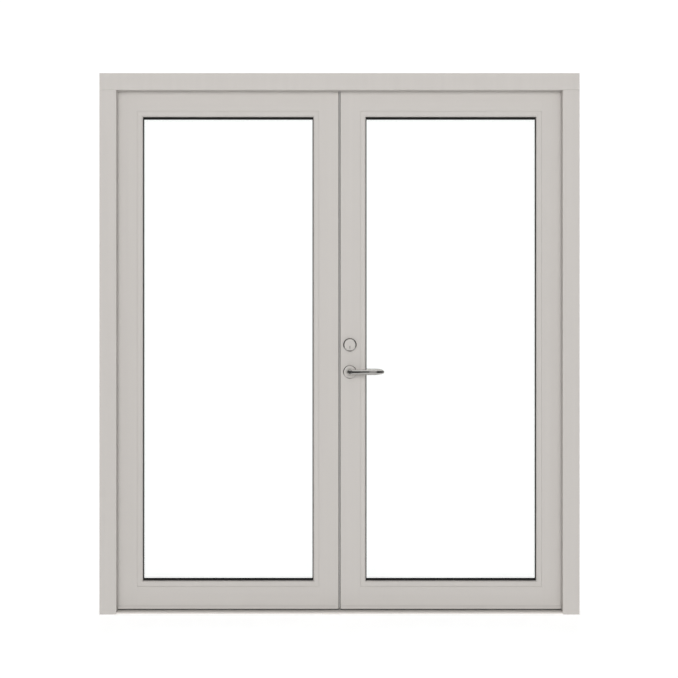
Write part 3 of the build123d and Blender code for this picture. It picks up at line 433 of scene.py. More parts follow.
@dataclass(frozen=True)
class Finish:
    """A finish with a fine grain.

    Attributes:
        name: its name.
        colour: linear base colour.
        roughness: middle roughness.
        metallic: share of metal.
        tone: spread of the tone.
        rough_spread: spread of the roughness.
        relief: strength of the bump.
        run: direction of its marks, or None for an even grain.
    """

    name: str
    colour: Triple
    roughness: float
    metallic: float
    tone: float
    rough_spread: float
    relief: float
    run: Run | None = None

    ALONG_MARKS = 0.02

    def material(self, groups: NodeGroups) -> Material:
        """Make the material.

        Args:
            groups: the shared node groups.

        Returns:
            The material.
        """
        group = groups.speckle if self.run is None else groups.streaks
        stretch = tuple(self.ALONG_MARKS if run is self.run else 1.0 for run in Run)
        values = {"Stretch": stretch, "Tone spread": self.tone, "Roughness spread": self.rough_spread,
                  "Relief": self.relief}
        mat, nodes, shader, grain = grained(self.name, self.colour, group, values)
        rough = nodes.math("ADD", grain.outputs["Roughness"], self.roughness)
        nodes.feed(shader, {"Metallic": self.metallic, "Roughness": rough, "Normal": grain.outputs["Normal"]})
        return mat


@dataclass(frozen=True)
class Glass:
    """Clear glass that lets light through to the shadows.

    Attributes:
        name: its name.
        colour: tint of the transmitted light.
        ior: refractive index.
        tone: spread of the tint.
    """

    name: str
    colour: Triple
    ior: float
    tone: float

    def material(self, groups: NodeGroups) -> Material:
        """Make the material.

        Args:
            groups: the shared node groups.

        Returns:
            The material.
        """
        values = {"Stretch": (1.0, 1.0, 1.0), "Tone spread": self.tone}
        mat, nodes, shader, _ = grained(self.name, self.colour, groups.speckle, values)
        nodes.feed(shader, {"Metallic": 0.0, "Roughness": 0.0, "IOR": self.ior, "Transmission Weight": 1.0})
        shadow = nodes.add("LightPath").outputs["Is Shadow Ray"]
        mix = nodes.shade(shadow, shader, nodes.add("BsdfTransparent"))
        nodes.feed(nodes.tree.nodes["Material Output"], {"Surface": mix.outputs["Shader"]})
        return mat


PAINT_COLOUR = (0.556, 0.53, 0.504)
PAINT_X = Finish("paint_along_x", PAINT_COLOUR, 0.46, 0.0, 0.012, 0.05, 0.05, Run.X)
PAINT_Z = Finish("paint_along_z", PAINT_COLOUR, 0.46, 0.0, 0.012, 0.05, 0.05, Run.Z)
COAT = Finish("powder_coat", PAINT_COLOUR, 0.5, 0.0, 0.012, 0.06, 0.12)
# Threshold coat: the frame's paint colour painted lighter, painted light that offsets the shade falling on
# the threshold under the leaves
LIGHTENED_SILL_COAT = Finish("sill_coat_painted_lighter", (0.76, 0.727, 0.694), 0.5, 0.0, 0.012, 0.06, 0.12)
BLACK_RUBBER = Finish("black_rubber", (0.03, 0.03, 0.029), 0.72, 0.0, 0.12, 0.08, 0.2)
GLAZING_RUBBER = Finish("glazing_rubber", (0.012, 0.012, 0.0115), 0.7, 0.0, 0.15, 0.08, 0.15)
GREY_RUBBER = Finish("grey_rubber", (0.3, 0.29, 0.275), 0.62, 0.0, 0.05, 0.08, 0.15)
SATIN_Z = Finish("satin_along_z", (0.78, 0.745, 0.71), 0.5, 0.4, 0.03, 0.06, 0.06, Run.Z)
POLISH = Finish("polished_edge", (0.66, 0.64, 0.61), 0.2, 1.0, 0.03, 0.04, 0.02)
# Painted shade: a near-black colour for the faces inside the key slot, standing in for the shade that falls
# there
KEYWAY_SHADE = Finish("keyway_painted_shade", (0.1, 0.085, 0.06), 0.5, 0.6, 0.1, 0.08, 0.1)
SATIN_X = Finish("satin_along_x", (0.74, 0.72, 0.69), 0.13, 1.0, 0.03, 0.04, 0.03, Run.X)
ZINC = Finish("zinc_steel", (0.6, 0.6, 0.59), 0.38, 1.0, 0.06, 0.1, 0.1, Run.Z)
ZINC_GRAIN = Finish("zinc_grain", (0.56, 0.57, 0.57), 0.42, 1.0, 0.1, 0.1, 0.12)
SCREW_STEEL = Finish("screw_steel", (0.6, 0.59, 0.57), 0.34, 1.0, 0.05, 0.08, 0.08)
PACKER = Finish("packer", (0.21, 0.22, 0.235), 0.55, 0.0, 0.06, 0.08, 0.15)
SPACER = Finish("edge_spacer", (0.34, 0.34, 0.335), 0.5, 0.0, 0.04, 0.06, 0.1)
GLASS = Glass("clear_glass", (0.985, 0.995, 0.99), 1.45, 0.002)


class Palette:
    """Materials made once and handed out by finish."""

    def __init__(self) -> None:
        """Start with the shared groups."""
        self.groups = NodeGroups()
        self.made: dict[str, Material] = {}

    def get(self, finish: Finish | Glass) -> Material:
        """Material of a finish.

        Args:
            finish: the finish.

        Returns:
            Its material, made at the first call.
        """
        if finish.name not in self.made:
            self.made[finish.name] = finish.material(self.groups)
        return self.made[finish.name]


class CadDress:
    """Finishes of the CAD pieces that stay in view, by node; those of a leaf are named without the leaf."""

    LEAVES = ("passive", "active")
    OF_LEAF = {"hinge_stile": PAINT_Z, "meeting_stile": PAINT_Z, "top_rail": PAINT_X, "bottom_rail": PAINT_X,
               "glazing_beads": PAINT_Z, "outer_pane": GLASS, "inner_pane": GLASS, "edge_spacer": SPACER,
               "glazing_gaskets": GLAZING_RUBBER, "setting_blocks": PACKER, "drip_bar": COAT,
               "bottom_sweep": BLACK_RUBBER, "meeting_seal": GREY_RUBBER}
    SINGLE = {"left_jamb": PAINT_Z, "right_jamb": PAINT_Z, "head": PAINT_X, "stop_frame": PAINT_Z,
              "threshold": LIGHTENED_SILL_COAT, "threshold_support": LIGHTENED_SILL_COAT, "head_keeps": SATIN_X,
              "frame_gasket": BLACK_RUBBER, "frame_fixing_sleeves": ZINC_GRAIN, "flush_bolt_plates": SATIN_Z,
              "strike_plate": SATIN_Z, "lock_faceplate": SATIN_Z, "top_flush_bolt": ZINC,
              "bottom_flush_bolt": ZINC, "upper_bolt_rod": ZINC, "lower_bolt_rod": ZINC, "lock_case": ZINC,
              "lock_follower": ZINC, "spindle": ZINC, "tailpiece": ZINC, "bolt_pinion": ZINC,
              "deadbolt": SATIN_X}

    def build(self, palette: Palette) -> list[Object]:
        """Give every CAD node of the tables its material.

        Args:
            palette: source of materials.

        Returns:
            The dressed objects.
        """
        table = {f"{leaf}_{node}": finish for leaf in self.LEAVES for node, finish in self.OF_LEAF.items()}
        table.update(self.SINGLE)
        dressed = [obj for obj in bpy.data.objects if obj.type == "MESH" and obj.name in table]
        for obj in dressed:
            obj.data.materials.clear()
            obj.data.materials.append(palette.get(table[obj.name]))
        return dressed


@dataclass
class LeverHandle:
    """A lever: a turned neck and a grip drawn as a run of ellipses.

    Attributes:
        name: name of the piece.
        node: CAD node it stands in for.
        outward: -1 outside, +1 inside.
        spindle: place of the spindle, in mm.
        root: distance of the neck's start from the leaf's middle plane.
        front: distance of the neck's face from the same plane.
        reach: length of the grip from the spindle.
        neck: radius of the neck, rounding of its front and radius of a ring on the flat there.
        height: height of the grip at its root.
        thickness: thickness of the grip at its root.
        behind: distance of the grip's face behind the neck's.
        give_back: depth by which the tip turns back to the leaf.
    """

    name: str
    node: str
    outward: float
    spindle: Triple = (41.0, 0.0, 949.0)
    root: float = 42.0
    front: float = 92.0
    reach: float = 134.0
    neck: Triple = (12.3, 7.0, 2.0)
    height: float = 24.0
    thickness: float = 17.0
    behind: float = 0.5
    give_back: float = 9.0

    # Share of the reach, then shares of the grip's own sizes: height, thickness, rise and set-back
    SHARES = ((-0.03, 0.98, 0.94, -0.03, 0.03), (0.1, 0.96, 0.93, -0.03, 0.03),
              (0.3, 0.94, 0.88, -0.02, 0.03), (0.58, 0.93, 0.8, -0.015, 0.1),
              (0.78, 0.9, 0.74, -0.005, 0.26), (0.92, 0.74, 0.66, 0.02, 0.55),
              (1.0, 0.44, 0.44, 0.035, 0.86))
    SAMPLES, WINDOW = 200, 19
    ROWS, SIDES = 80, 72
    TIP_START, TIP_TURN, TIP_ROWS = 0.975, 0.98, 16
    SMOOTH_BELOW = 40.0

    def neck_mesh(self) -> Mesh:
        """Turned profile: a straight side and a quarter circle to the flat front.

        Returns:
            The neck's mesh.
        """
        radius, arris, flat = self.neck
        t = np.linspace(0.0, QUARTER_TURN, self.TIP_ROWS)
        corner = np.stack([radius - arris + arris * np.cos(t), self.front - arris + arris * np.sin(t)], 1)
        profile = np.concatenate([[(radius, self.root)], corner, [(flat, self.front)]])
        return lathe(profile, self.spindle, (0.0, self.outward, 0.0))

    def grip_mesh(self) -> Mesh:
        """Row of ellipses whose height, thickness, rise and set-back follow smooth curves of the reach.

        The curves are the table's straight runs, averaged over a bell-shaped window. The tip is closed by
        the curve sqrt(1 - w^2), where w goes from 0 to nearly 1 over the last few millimetres.

        Returns:
            The grip's mesh.
        """
        share, tip = np.array(self.SHARES), self.TIP_START
        w = np.sin(np.linspace(0.0, self.TIP_TURN * QUARTER_TURN, self.TIP_ROWS))[1:]
        u = np.concatenate([np.linspace(share[0, 0], tip, self.ROWS), tip + (1.0 - tip) * w])[:, None]
        end = np.concatenate([np.ones(self.ROWS), np.sqrt(1.0 - w ** 2)])[:, None]
        kernel = np.hanning(self.WINDOW)[1:-1]
        even = np.linspace(share[0, 0], 1.0, self.SAMPLES)
        columns = [np.interp(even, share[:, 0], column) for column in share.T[1:]]
        padded = [np.pad(column, len(kernel) // 2, mode="edge") for column in columns]
        eased = [np.convolve(column, kernel / kernel.sum(), "valid") for column in padded]
        high, thick, rise, back = (np.interp(u, even, column) for column in eased)
        half_high, half_thick = high * self.height / 2.0, thick * self.thickness / 2.0
        cos, sin = circle(self.SIDES)
        x = self.spindle[0] + u * self.reach
        y = self.front - self.behind - half_thick - back * self.give_back + half_thick * end * cos
        z = self.spindle[2] + rise * self.height + half_high * end * sin
        return grid(np.stack(np.broadcast_arrays(x, self.outward * y, z), -1))

    def build(self, palette: Palette) -> list[Object]:
        """Place the lever, in a material of the palette."""
        mesh, satin = join([self.neck_mesh(), self.grip_mesh()]), palette.get(SATIN_X)
        return [put(self.name, mesh, Body.LEVERS, satin, (self.node,), self.SMOOTH_BELOW)]


@dataclass
class Rose:
    """A round rose with a raised collar.

    Attributes:
        name: name of the piece.
        node: CAD node it stands in for.
        centre: place of its axis, in mm.
        outward: -1 outside, +1 inside.
        bore: radius of its bore.
        face: distance of the leaf's face from its middle plane.
        radius: its radius.
        edge: height of its straight edge.
        bevel: width of its bevel.
        height: height of its face above the leaf.
        collar: radius and height of the collar.
    """

    name: str
    node: str
    centre: Triple
    outward: float
    bore: float = 12.6
    face: float = 34.0
    radius: float = 26.5
    edge: float = 5.5
    bevel: float = 3.0
    height: float = 8.0
    collar: Pair = (14.5, 3.0)

    EASING = (0.2, 0.2, 0.7, 0.9, 0.4, 0.7, 0.3)
    FLAT_FRONT = 0.93

    @staticmethod
    def bevelled(_middle: Array, normal: Array) -> Array:
        """True for faces that turn away from a flat front: their normal's part along y is small."""
        return np.abs(normal[:, 1]) < Rose.FLAT_FRONT

    def build(self, palette: Palette) -> list[Object]:
        """Turned ring: a straight edge, a bevel, a flat face and a collar, with eased corners.

        Args:
            palette: source of materials.

        Returns:
            The rose.
        """
        top, (width, rise) = self.face + self.height, self.collar
        corners = [(self.bore, self.face), (self.radius, self.face), (self.radius, self.face + self.edge),
                   (self.radius - self.bevel, top), (width, top), (width, top + rise),
                   (self.bore, top + rise)]
        mesh = lathe(rounded(corners, self.EASING), self.centre, (0.0, self.outward, 0.0), True)
        return [put(self.name, mesh, Body.ACTIVE, palette.get(SATIN_Z), (self.node,),
                    second=(palette.get(POLISH), self.bevelled))]


@dataclass
class LockCylinder:
    """Ring, round cylinder and key plug on the outer face.

    Attributes:
        centre: place of the cylinder's axis, in mm.
        plug_drop: plug below the cylinder's middle.
        leaf: y of the leaf's face.
        face: y of the cylinder's face.
        shank_end: y of its inner end.
        radius: radius of the cylinder.
        shank: radius of its shank.
        plug_hole: radius of the hole for the plug, and easing of its rim.
        slot_depth: depth of the key slot.
        lead_depth: depth of the hollow round its mouth.
    """

    centre: Triple = (41.0, 0.0, 1056.0)
    plug_drop: float = 9.5
    leaf: float = -34.0
    face: float = -44.2
    shank_end: float = -8.3
    radius: float = 21.0
    shank: float = 16.0
    plug_hole: Pair = (10.1, 0.4)
    slot_depth: float = 9.0
    lead_depth: float = 0.35

    # Radius and height of the ring's corners, and their easing
    RING = [(21.05, 34.0), (26.5, 34.0), (26.5, 41.5), (22.3, 45.0), (21.05, 45.0)]
    RING_EASING = (0.2, 0.3, 0.9, 0.5, 0.4)
    # Inset from the cylinder's radius and depth behind its face, round the edge
    EDGE = ((0.7, 0.0), (0.1, 0.25), (0.0, 0.8))
    SIDES = 128
    # Radii of the plug's first and last flat rings, then radius and depth of the rings round its edge
    PLUG_FLAT = (0.1, 9.3)
    PLUG_EDGE = ((9.75, 0.15), (10.0, 0.8), (10.0, 5.0))
    PLUG_RINGS, PLUG_SIDES = 64, 168
    # Sideways bend of the key slot and its period; walls of the slot and of the hollow, across and along
    BEND = (0.32, 7.2)
    SLOT = ((0.75, 0.98), (5.0, 5.4))
    LEAD = ((0.9, 2.2), (5.2, 6.4))
    SLOT_REACH, SLOT_MOUTH = 9.0, 0.5

    def ring(self) -> Mesh:
        """Turned ring: a straight edge, a long bevel and a narrow rim."""
        return lathe(rounded(self.RING, self.RING_EASING), self.centre, (0.0, -1.0, 0.0), True)

    def body(self) -> Mesh:
        """Loops round the cylinder, each with its own middle: plug hole, face, edge, shank and hole again.

        Returns:
            The cylinder's mesh.
        """
        hole, shank, (bore, lip) = -self.plug_drop, -self.plug_drop / 2.0, self.plug_hole
        edge = [(self.radius - inset, 0.0, self.face + depth) for inset, depth in self.EDGE]
        loops = np.array([(bore, hole, self.face + lip), (bore + lip, hole, self.face), *edge,
                          (self.radius, 0.0, self.leaf), (self.shank, shank, self.leaf),
                          (self.shank, shank, self.shank_end), (bore, hole, self.shank_end)])
        cos, sin = circle(self.SIDES)
        radius, drop, y = (column[:, None] for column in loops.T)
        x, z = self.centre[0] + radius * cos, self.centre[2] + drop + radius * sin
        return grid(np.stack(np.broadcast_arrays(x, y, z), -1), wrap_rows=True)

    def plug(self) -> Mesh:
        """Disc whose face drops into a key slot with a bent outline, seen as a height over radius and angle.

        The slot's middle line jumps sideways with the sign of a sine of the height. A hollow leads in.

        Returns:
            The plug's mesh.
        """
        edge = np.array([*self.PLUG_EDGE, (self.PLUG_EDGE[-1][0], self.shank_end - self.face)])
        radius = np.concatenate([np.linspace(*self.PLUG_FLAT, self.PLUG_RINGS), edge[:, 0]])[:, None]
        depth = np.concatenate([np.zeros(self.PLUG_RINGS), edge[:, 1]])[:, None]
        cos, sin = circle(self.PLUG_SIDES)
        x, z = radius * cos, radius * sin
        bend = self.BEND[0] * np.sign(np.sin(FULL_TURN * z / self.BEND[1]))
        inside = self.slot_depth * hollow(self.SLOT, x - bend, z)
        lead = self.lead_depth * hollow(self.LEAD, x, z) * (radius < self.SLOT_REACH)
        y = self.face + depth + inside + lead
        return grid(np.stack([self.centre[0] + x, y, self.centre[2] - self.plug_drop + z], -1))

    def in_shaded_keyway(self, middle: Array, _normal: Array) -> Array:
        """True for faces of the plug inside its key slot, behind the front and away from the rim, which get
        the painted shade.
        """
        away = np.hypot(middle[:, 0] - self.centre[0], middle[:, 2] - self.centre[2] + self.plug_drop)
        return (middle[:, 1] > self.face + self.SLOT_MOUTH) & (away < self.SLOT_REACH)

    def build(self, palette: Palette) -> list[Object]:
        """Place the three pieces.

        Args:
            palette: source of materials.

        Returns:
            The ring, the cylinder and the plug.
        """
        satin, polish, keyway_shade = palette.get(SATIN_Z), palette.get(POLISH), palette.get(KEYWAY_SHADE)
        return [put("lock_ring", self.ring(), Body.ACTIVE, satin, ("cylinder_ring",),
                    second=(polish, Rose.bevelled)),
                put("lock_cylinder", self.body(), Body.ACTIVE, satin, ("cylinder_body",)),
                # The faces inside the key slot are given the painted shade
                put("lock_plug", self.plug(), Body.KEY, satin, ("key_plug",),
                    second=(keyway_shade, self.in_shaded_keyway))]


@dataclass
class Thumbturn:
    """Oval grip on a round stem inside the active leaf.

    Attributes:
        centre: place of its axis, in mm.
        stem: radius of the stem and its two ends along y.
        grip: half width, half of the straight length, start and end along y.
        arris: rounding of the grip's face.
        easing: easing of its foot.
    """

    centre: Triple = (41.0, 0.0, 1046.5)
    stem: Triple = (6.0, 45.0, 53.0)
    grip: tuple[float, float, float, float] = (6.5, 12.5, 52.0, 69.0)
    arris: float = 3.0
    easing: float = 1.0

    ROWS, SIDES = 10, 96

    def build(self, palette: Palette) -> list[Object]:
        """Stem as a turned bar; grip as long round loops, their half width a quarter circle at the face.

        Args:
            palette: source of materials.

        Returns:
            The thumbturn.
        """
        width, straight, start, end = self.grip
        t = np.linspace(0.0, QUARTER_TURN, self.ROWS)
        half = np.concatenate([[width - self.easing, width], width - self.arris * (1.0 - np.cos(t))])[:, None]
        y = np.concatenate([[start, start + self.easing], end - self.arris * (1.0 - np.sin(t))])[:, None]
        cos, sin = circle(self.SIDES)
        z = self.centre[2] + np.where(sin >= 0.0, straight, -straight) + half * sin
        loops = np.stack(np.broadcast_arrays(self.centre[0] + half * cos, y, z), -1)
        radius, foot, top = self.stem
        stem = lathe(np.array([(radius, foot), (radius, top)]), self.centre, (0.0, 1.0, 0.0))
        return [put("thumbturn_grip", join([grid(loops), stem]), Body.KEY, palette.get(SATIN_Z),
                    ("thumbturn",))]


@dataclass
class Hinges:
    """Lift-off hinges: lower knuckles with pins on the jambs, upper knuckles on the leaves.

    Attributes:
        axis: distance of the pins from the middle, and their y.
        heights: z of the middles.
        half: half length of a hinge.
        radius: radius of a knuckle.
        meeting: gap between the knuckles, and easing of their ends there.
        dome: rounding of their far ends, across and along.
        pin: radius of a pin, its reach above the joint and easing of its tip.
        bore: room round the pin in its bore, and depth of the bore.
        back: y of the inner face of the leaves.
        depth: depth of the plates in the edge.
        gauge: thickness of the plates.
        web_lap: lap of a web on its plate.
        plate_edge: rounding of the plates' corners, and easing of their edges.
        faces: distance of the jamb's face and of the leaf's edge from the middle.
    """

    axis: Pair = (886.0, 44.0)
    heights: Triple = (245.5, 1039.75, 1834.0)
    half: float = 50.0
    radius: float = 8.0
    meeting: Pair = (0.3, 0.4)
    dome: Pair = (1.8, 1.5)
    pin: Triple = (4.0, 45.7, 0.6)
    bore: Pair = (0.08, 46.0)
    back: float = 34.0
    depth: float = 30.0
    gauge: float = 2.5
    web_lap: float = 0.5
    plate_edge: Pair = (0.05, 0.02)
    faces: Pair = (888.0, 884.0)

    # Inset and height of the groove near a knuckle's end; y and z of a plate's screws from its middle
    GROOVE = ((0.0, 40.0), (0.5, 40.4), (0.5, 41.0), (0.0, 41.4))
    SCREWS = ((-7.0, -38.0), (6.0, -14.0), (6.0, 14.0), (-7.0, 38.0))
    DOME_ROWS, SIDES = 8, 64

    def knuckle(self, side: float, z: float, upper: bool) -> Mesh:
        """Turned knuckle with a domed end; the lower one carries the pin, the upper one is bored for it.

        Args:
            side: -1 left, +1 right.
            z: middle of the hinge.
            upper: the knuckle on the leaf.

        Returns:
            The knuckle's mesh.
        """
        (across, along), (gap, rim), (pin, reach, arris) = self.dome, self.meeting, self.pin
        t = np.linspace(0.0, QUARTER_TURN, self.DOME_ROWS)
        dome = np.stack([self.radius - across + across * np.cos(t), self.half - along + along * np.sin(t)], 1)
        groove = [(self.radius - inset, height) for inset, height in self.GROOVE]
        wall = [(self.radius - rim, gap if upper else 0.0), (self.radius, gap + rim)]
        if upper:
            inner = [(pin + self.bore[0], self.bore[1]), (pin + self.bore[0], gap)]
        else:
            inner = [(pin - arris, -reach), (pin, arris - reach), (pin, 0.0)]
        profile = np.concatenate([inner, wall, groove, dome])
        origin = (side * self.axis[0], self.axis[1], z)
        return lathe(profile, origin, UP if upper else DOWN, count=self.SIDES)

    def half_mesh(self, side: float, z: float, upper: bool) -> Mesh:
        """Knuckle, plate and the web between them.

        Args:
            side: -1 left, +1 right.
            z: middle of the hinge.
            upper: the half on the leaf.

        Returns:
            The half's mesh.
        """
        face = self.faces[upper]
        other = face - self.gauge if upper else face + self.gauge
        x = tuple(sorted((side * face, side * other)))
        length = (z + self.meeting[0], z + self.half) if upper else (z - self.half, z)
        flat = (x, (self.back - self.depth, self.back), (z - self.half, z + self.half))
        web = (x, (self.back - self.web_lap, self.axis[1]), length)
        plates = [plate(spans, Run.X, *self.plate_edge) for spans in (flat, web)]
        return join([self.knuckle(side, z, upper), *plates])

    def build(self, palette: Palette) -> list[Object]:
        """Place the halves of the jambs and of both leaves.

        Args:
            palette: source of materials.

        Returns:
            The halves, one piece for each body.
        """
        sets = (("frame_hinges", Body.FRAME, (-1.0, 1.0), False, "hinge_frame_halves"),
                ("passive_hinges", Body.PASSIVE, (-1.0,), True, "passive_hinge_halves"),
                ("active_hinges", Body.ACTIVE, (1.0,), True, "active_hinge_halves"))
        made = []
        for name, body, sides, upper, node in sets:
            mesh = join([self.half_mesh(side, z, upper) for side in sides for z in self.heights])
            made.append(put(name, mesh, body, palette.get(ZINC), (node,)))
        return made

    def screws(self, side: float, upper: bool) -> list[Triple]:
        """Places of the screws in the plates of one side, on the leaf or on the jamb, in mm."""
        face, middle = side * self.faces[upper], self.back - self.depth / 2.0
        return [(face, middle + dy, z + dz) for z in self.heights for dy, dz in self.SCREWS]


@dataclass
class ScrewSet:
    """Countersunk screws with a cross recess, all on one body and facing one way.

    Attributes:
        name: name of the piece.
        body: body they ride on.
        places: middles of the heads on the surface, in mm.
        normal: direction the heads face.
        radius: radius of a head.
        stand: height of its rim above the surface.
        crown: height of its dome.
    """

    name: str
    body: Body
    places: list[Triple]
    normal: Triple
    radius: float = 3.6
    stand: float = 0.05
    crown: float = 0.12

    # Shares of the radius: first and last ring of the dome, depth of the recess, walls of its arms
    DOME = (0.04, 0.9)
    RECESS = 0.4
    CROSS = ((0.096, 0.192), (0.496, 0.62))
    # Share of the radius and height in mm of the rings round the edge
    EDGE = ((0.97, 0.0), (1.0, -0.05), (1.0, -0.4))
    RINGS, SIDES = 20, 48
    SEED = 7
    SMOOTH_BELOW = 50.0

    def build(self, palette: Palette) -> list[Object]:
        """Heads as a height over radius and angle: a shallow dome less a cross with soft walls.

        The dome is its crown times one less the square of the radius share. Heads are turned at random.

        Args:
            palette: source of materials.

        Returns:
            The screws as one piece.
        """
        dome, edge = np.linspace(*self.DOME, self.RINGS), np.array(self.EDGE)
        share = np.concatenate([dome, edge[:, 0]])[:, None]
        rise = np.concatenate([self.crown * (1.0 - dome ** 2), edge[:, 1]])[:, None]
        cos, sin = circle(self.SIDES)
        a, b = share * cos, share * sin
        cross = np.maximum(hollow(self.CROSS, a, b), hollow(self.CROSS, b, a))
        height = self.stand + rise - self.RECESS * self.radius * cross
        count = len(self.places)
        turns = np.random.default_rng(count + self.SEED).uniform(0.0, QUARTER_TURN, count)[:, None, None]
        c, s = np.cos(turns), np.sin(turns)
        u, v, n = basis(self.normal)
        flat = (a * c - b * s)[..., None] * u + (a * s + b * c)[..., None] * v
        points = self.radius * flat + height[None, ..., None] * n + np.array(self.places)[:, None, None, :]
        return [put(self.name, join([grid(one) for one in points]), self.body,
                    palette.get(SCREW_STEEL), sharp=self.SMOOTH_BELOW)]


@dataclass
class Studio:
    """Floor, world, lights and camera.

    Attributes:
        camera_at: place of the camera, in metres.
        lens: focal length of the camera, in mm.
        sensor: width of its sensor, in mm.
        fill: light of the world on matt faces, from the sides and from straight above.
        glow: light that the floor gives back to the doors by itself.
        key_power: power of the front light, in watts.
        back_share: share of it for the light behind.
        lamp: distance, height and width of the lights, in metres.
        aim: height the lights look at.
        floor_half: half width of the floor, in metres.
    """

    camera_at: Triple = (-0.002, -5.374, 1.079)
    lens: float = 71.88
    sensor: float = 36.0
    fill: Pair = (0.16, 0.46)
    glow: float = 0.33
    key_power: float = 3060.0
    back_share: float = 0.8
    lamp: Triple = (20.0, 3.0, 11.5)
    aim: float = 1.06
    floor_half: float = 60.0

    # What satin metal sees: cards by the sideways part of the direction, ceiling, walls and a pool of light
    CARDS = ((0.0, 0.015), (0.05, 0.015), (0.09, 0.42), (0.17, 0.42), (0.25, 0.02), (1.0, 0.02))
    CEILING = (0.58, 0.66)
    SKY = 1.0
    WALLS = ((0.15, 0.6), (0.05, 1.0))
    # Floor as satin metal sees it, by distance from the doors: painted shade next to them, a painted pool of
    # light, then dark
    POOL = ((0.0, 0.2), (0.06, 0.2), (0.12, 1.0), (0.45, 1.0), (0.55, 0.0), (1.0, 0.0))
    POOL_LIGHT = 0.6
    POOL_REACH = 5.0
    # What the camera sees: the white behind, the floor's albedo and own light, and its fade into the white
    BACKDROP = 1.05
    FLOOR_SEEN = (1.0, 0.5)
    FADE = (1.6, 4.5)
    # Albedo of the floor for the light that it throws on the doors
    FLOOR_TONE = 0.8

    @staticmethod
    def seen_white(nodes: Nodes, path: Node) -> NodeSocket:
        """One for rays from the camera, through glass and off mirror-smooth faces, zero for the rest."""
        direct = nodes.math("MAXIMUM", path.outputs["Is Camera Ray"], path.outputs["Is Transmission Ray"])
        return nodes.math("MAXIMUM", direct, path.outputs["Is Singular Ray"])

    def world(self) -> None:
        """White behind the doors; satin metal sees a lit ceiling, dark walls and cards round the horizon."""
        world = bpy.data.worlds.new("studio")
        bpy.context.scene.world = world
        world.use_nodes = True
        nodes = Nodes(world.node_tree)
        path = nodes.add("LightPath")
        x, y, z = nodes.add("SeparateXYZ", {0: nodes.add("TexCoord").outputs["Generated"]}).outputs
        cards = nodes.steps(nodes.math("ABSOLUTE", x), self.CARDS)
        ceiling = nodes.blend(nodes.span(z, self.CEILING, kind="SMOOTHSTEP"), cards, nodes.grey(self.SKY))
        walls = nodes.span(nodes.math("ABSOLUTE", y), *self.WALLS, kind="SMOOTHSTEP")
        room = nodes.add("VectorMath", {0: ceiling, "Scale": walls}, operation="SCALE").outputs["Vector"]
        look = nodes.blend(path.outputs["Is Glossy Ray"], nodes.span(z, (0.0, 1.0), self.fill), room)
        final = nodes.blend(self.seen_white(nodes, path), look, nodes.grey(self.BACKDROP))
        nodes.feed(nodes.tree.nodes["Background"], {"Color": final})

    def floor_material(self) -> Material:
        """Matt white with the object's shadow for the camera; satin metal sees painted light on it: painted
        shade by the doors, a pool of light and cards.

        Returns:
            The floor's material.
        """
        mat = bpy.data.materials.new("floor")
        mat.use_nodes = True
        nodes = Nodes(mat.node_tree)
        nodes.tree.nodes.remove(nodes.tree.nodes["Principled BSDF"])
        path = nodes.add("LightPath")
        place = nodes.add("TexCoord").outputs["Object"]
        away = nodes.add("VectorMath", {0: place}, operation="LENGTH").outputs["Value"]
        side = nodes.add("SeparateXYZ", {0: place}).outputs["X"]
        cards = nodes.steps(nodes.math("ABSOLUTE", nodes.math("DIVIDE", side, away)), self.CARDS)
        pool = nodes.steps(nodes.math("DIVIDE", away, self.POOL_REACH), self.POOL)
        sheen = nodes.add("Emission", {"Color": nodes.blend(pool, cards, nodes.grey(self.POOL_LIGHT))})
        other = nodes.shade(path.outputs["Is Glossy Ray"], nodes.lit(self.FLOOR_TONE, self.glow), sheen)
        clear = nodes.add("Emission", {"Strength": self.BACKDROP})
        seen = nodes.shade(nodes.span(away, self.FADE), nodes.lit(*self.FLOOR_SEEN), clear)
        mix = nodes.shade(self.seen_white(nodes, path), other, seen)
        nodes.feed(nodes.tree.nodes["Material Output"], {"Surface": mix.outputs[0]})
        return mat

    def floor(self) -> None:
        """Large pale square on the ground."""
        data, size = bpy.data.meshes.new("floor"), self.floor_half
        corners = [(-size, -size, 0.0), (size, -size, 0.0), (size, size, 0.0), (-size, size, 0.0)]
        data.from_pydata(corners, [], [(0, 1, 2, 3)])
        data.materials.append(self.floor_material())
        obj = bpy.data.objects.new("floor", data)
        bpy.context.scene.collection.objects.link(obj)

    def lights(self) -> None:
        """One large soft light from the camera's side and a weaker one behind the doors."""
        far, height, width = self.lamp
        for name, side, power in (("front_light", -1.0, self.key_power),
                                  ("back_light", 1.0, self.key_power * self.back_share)):
            data = bpy.data.lights.new(name, "AREA")
            data.energy, data.shape, data.size = power, "SQUARE", width
            obj = bpy.data.objects.new(name, data)
            obj.location = (0.0, side * far, height)
            turn = Vector((0.0, -side * far, self.aim - height)).to_track_quat("-Z", "Y")
            obj.rotation_euler = turn.to_euler()
            obj.visible_glossy = obj.visible_camera = obj.visible_transmission = False
            bpy.context.scene.collection.objects.link(obj)

    def camera(self) -> None:
        """Camera straight in front of the doors."""
        data = bpy.data.cameras.new("camera")
        data.lens = self.lens
        data.sensor_width = self.sensor
        obj = bpy.data.objects.new("camera", data)
        obj.location = self.camera_at
        obj.rotation_euler = (QUARTER_TURN, 0.0, 0.0)
        bpy.context.scene.collection.objects.link(obj)
        bpy.context.scene.camera = obj

    def build(self) -> None:
        """Set up the whole studio."""
        self.world()
        self.floor()
        self.lights()
        self.camera()
        bpy.context.scene.view_settings.view_transform = "Standard"


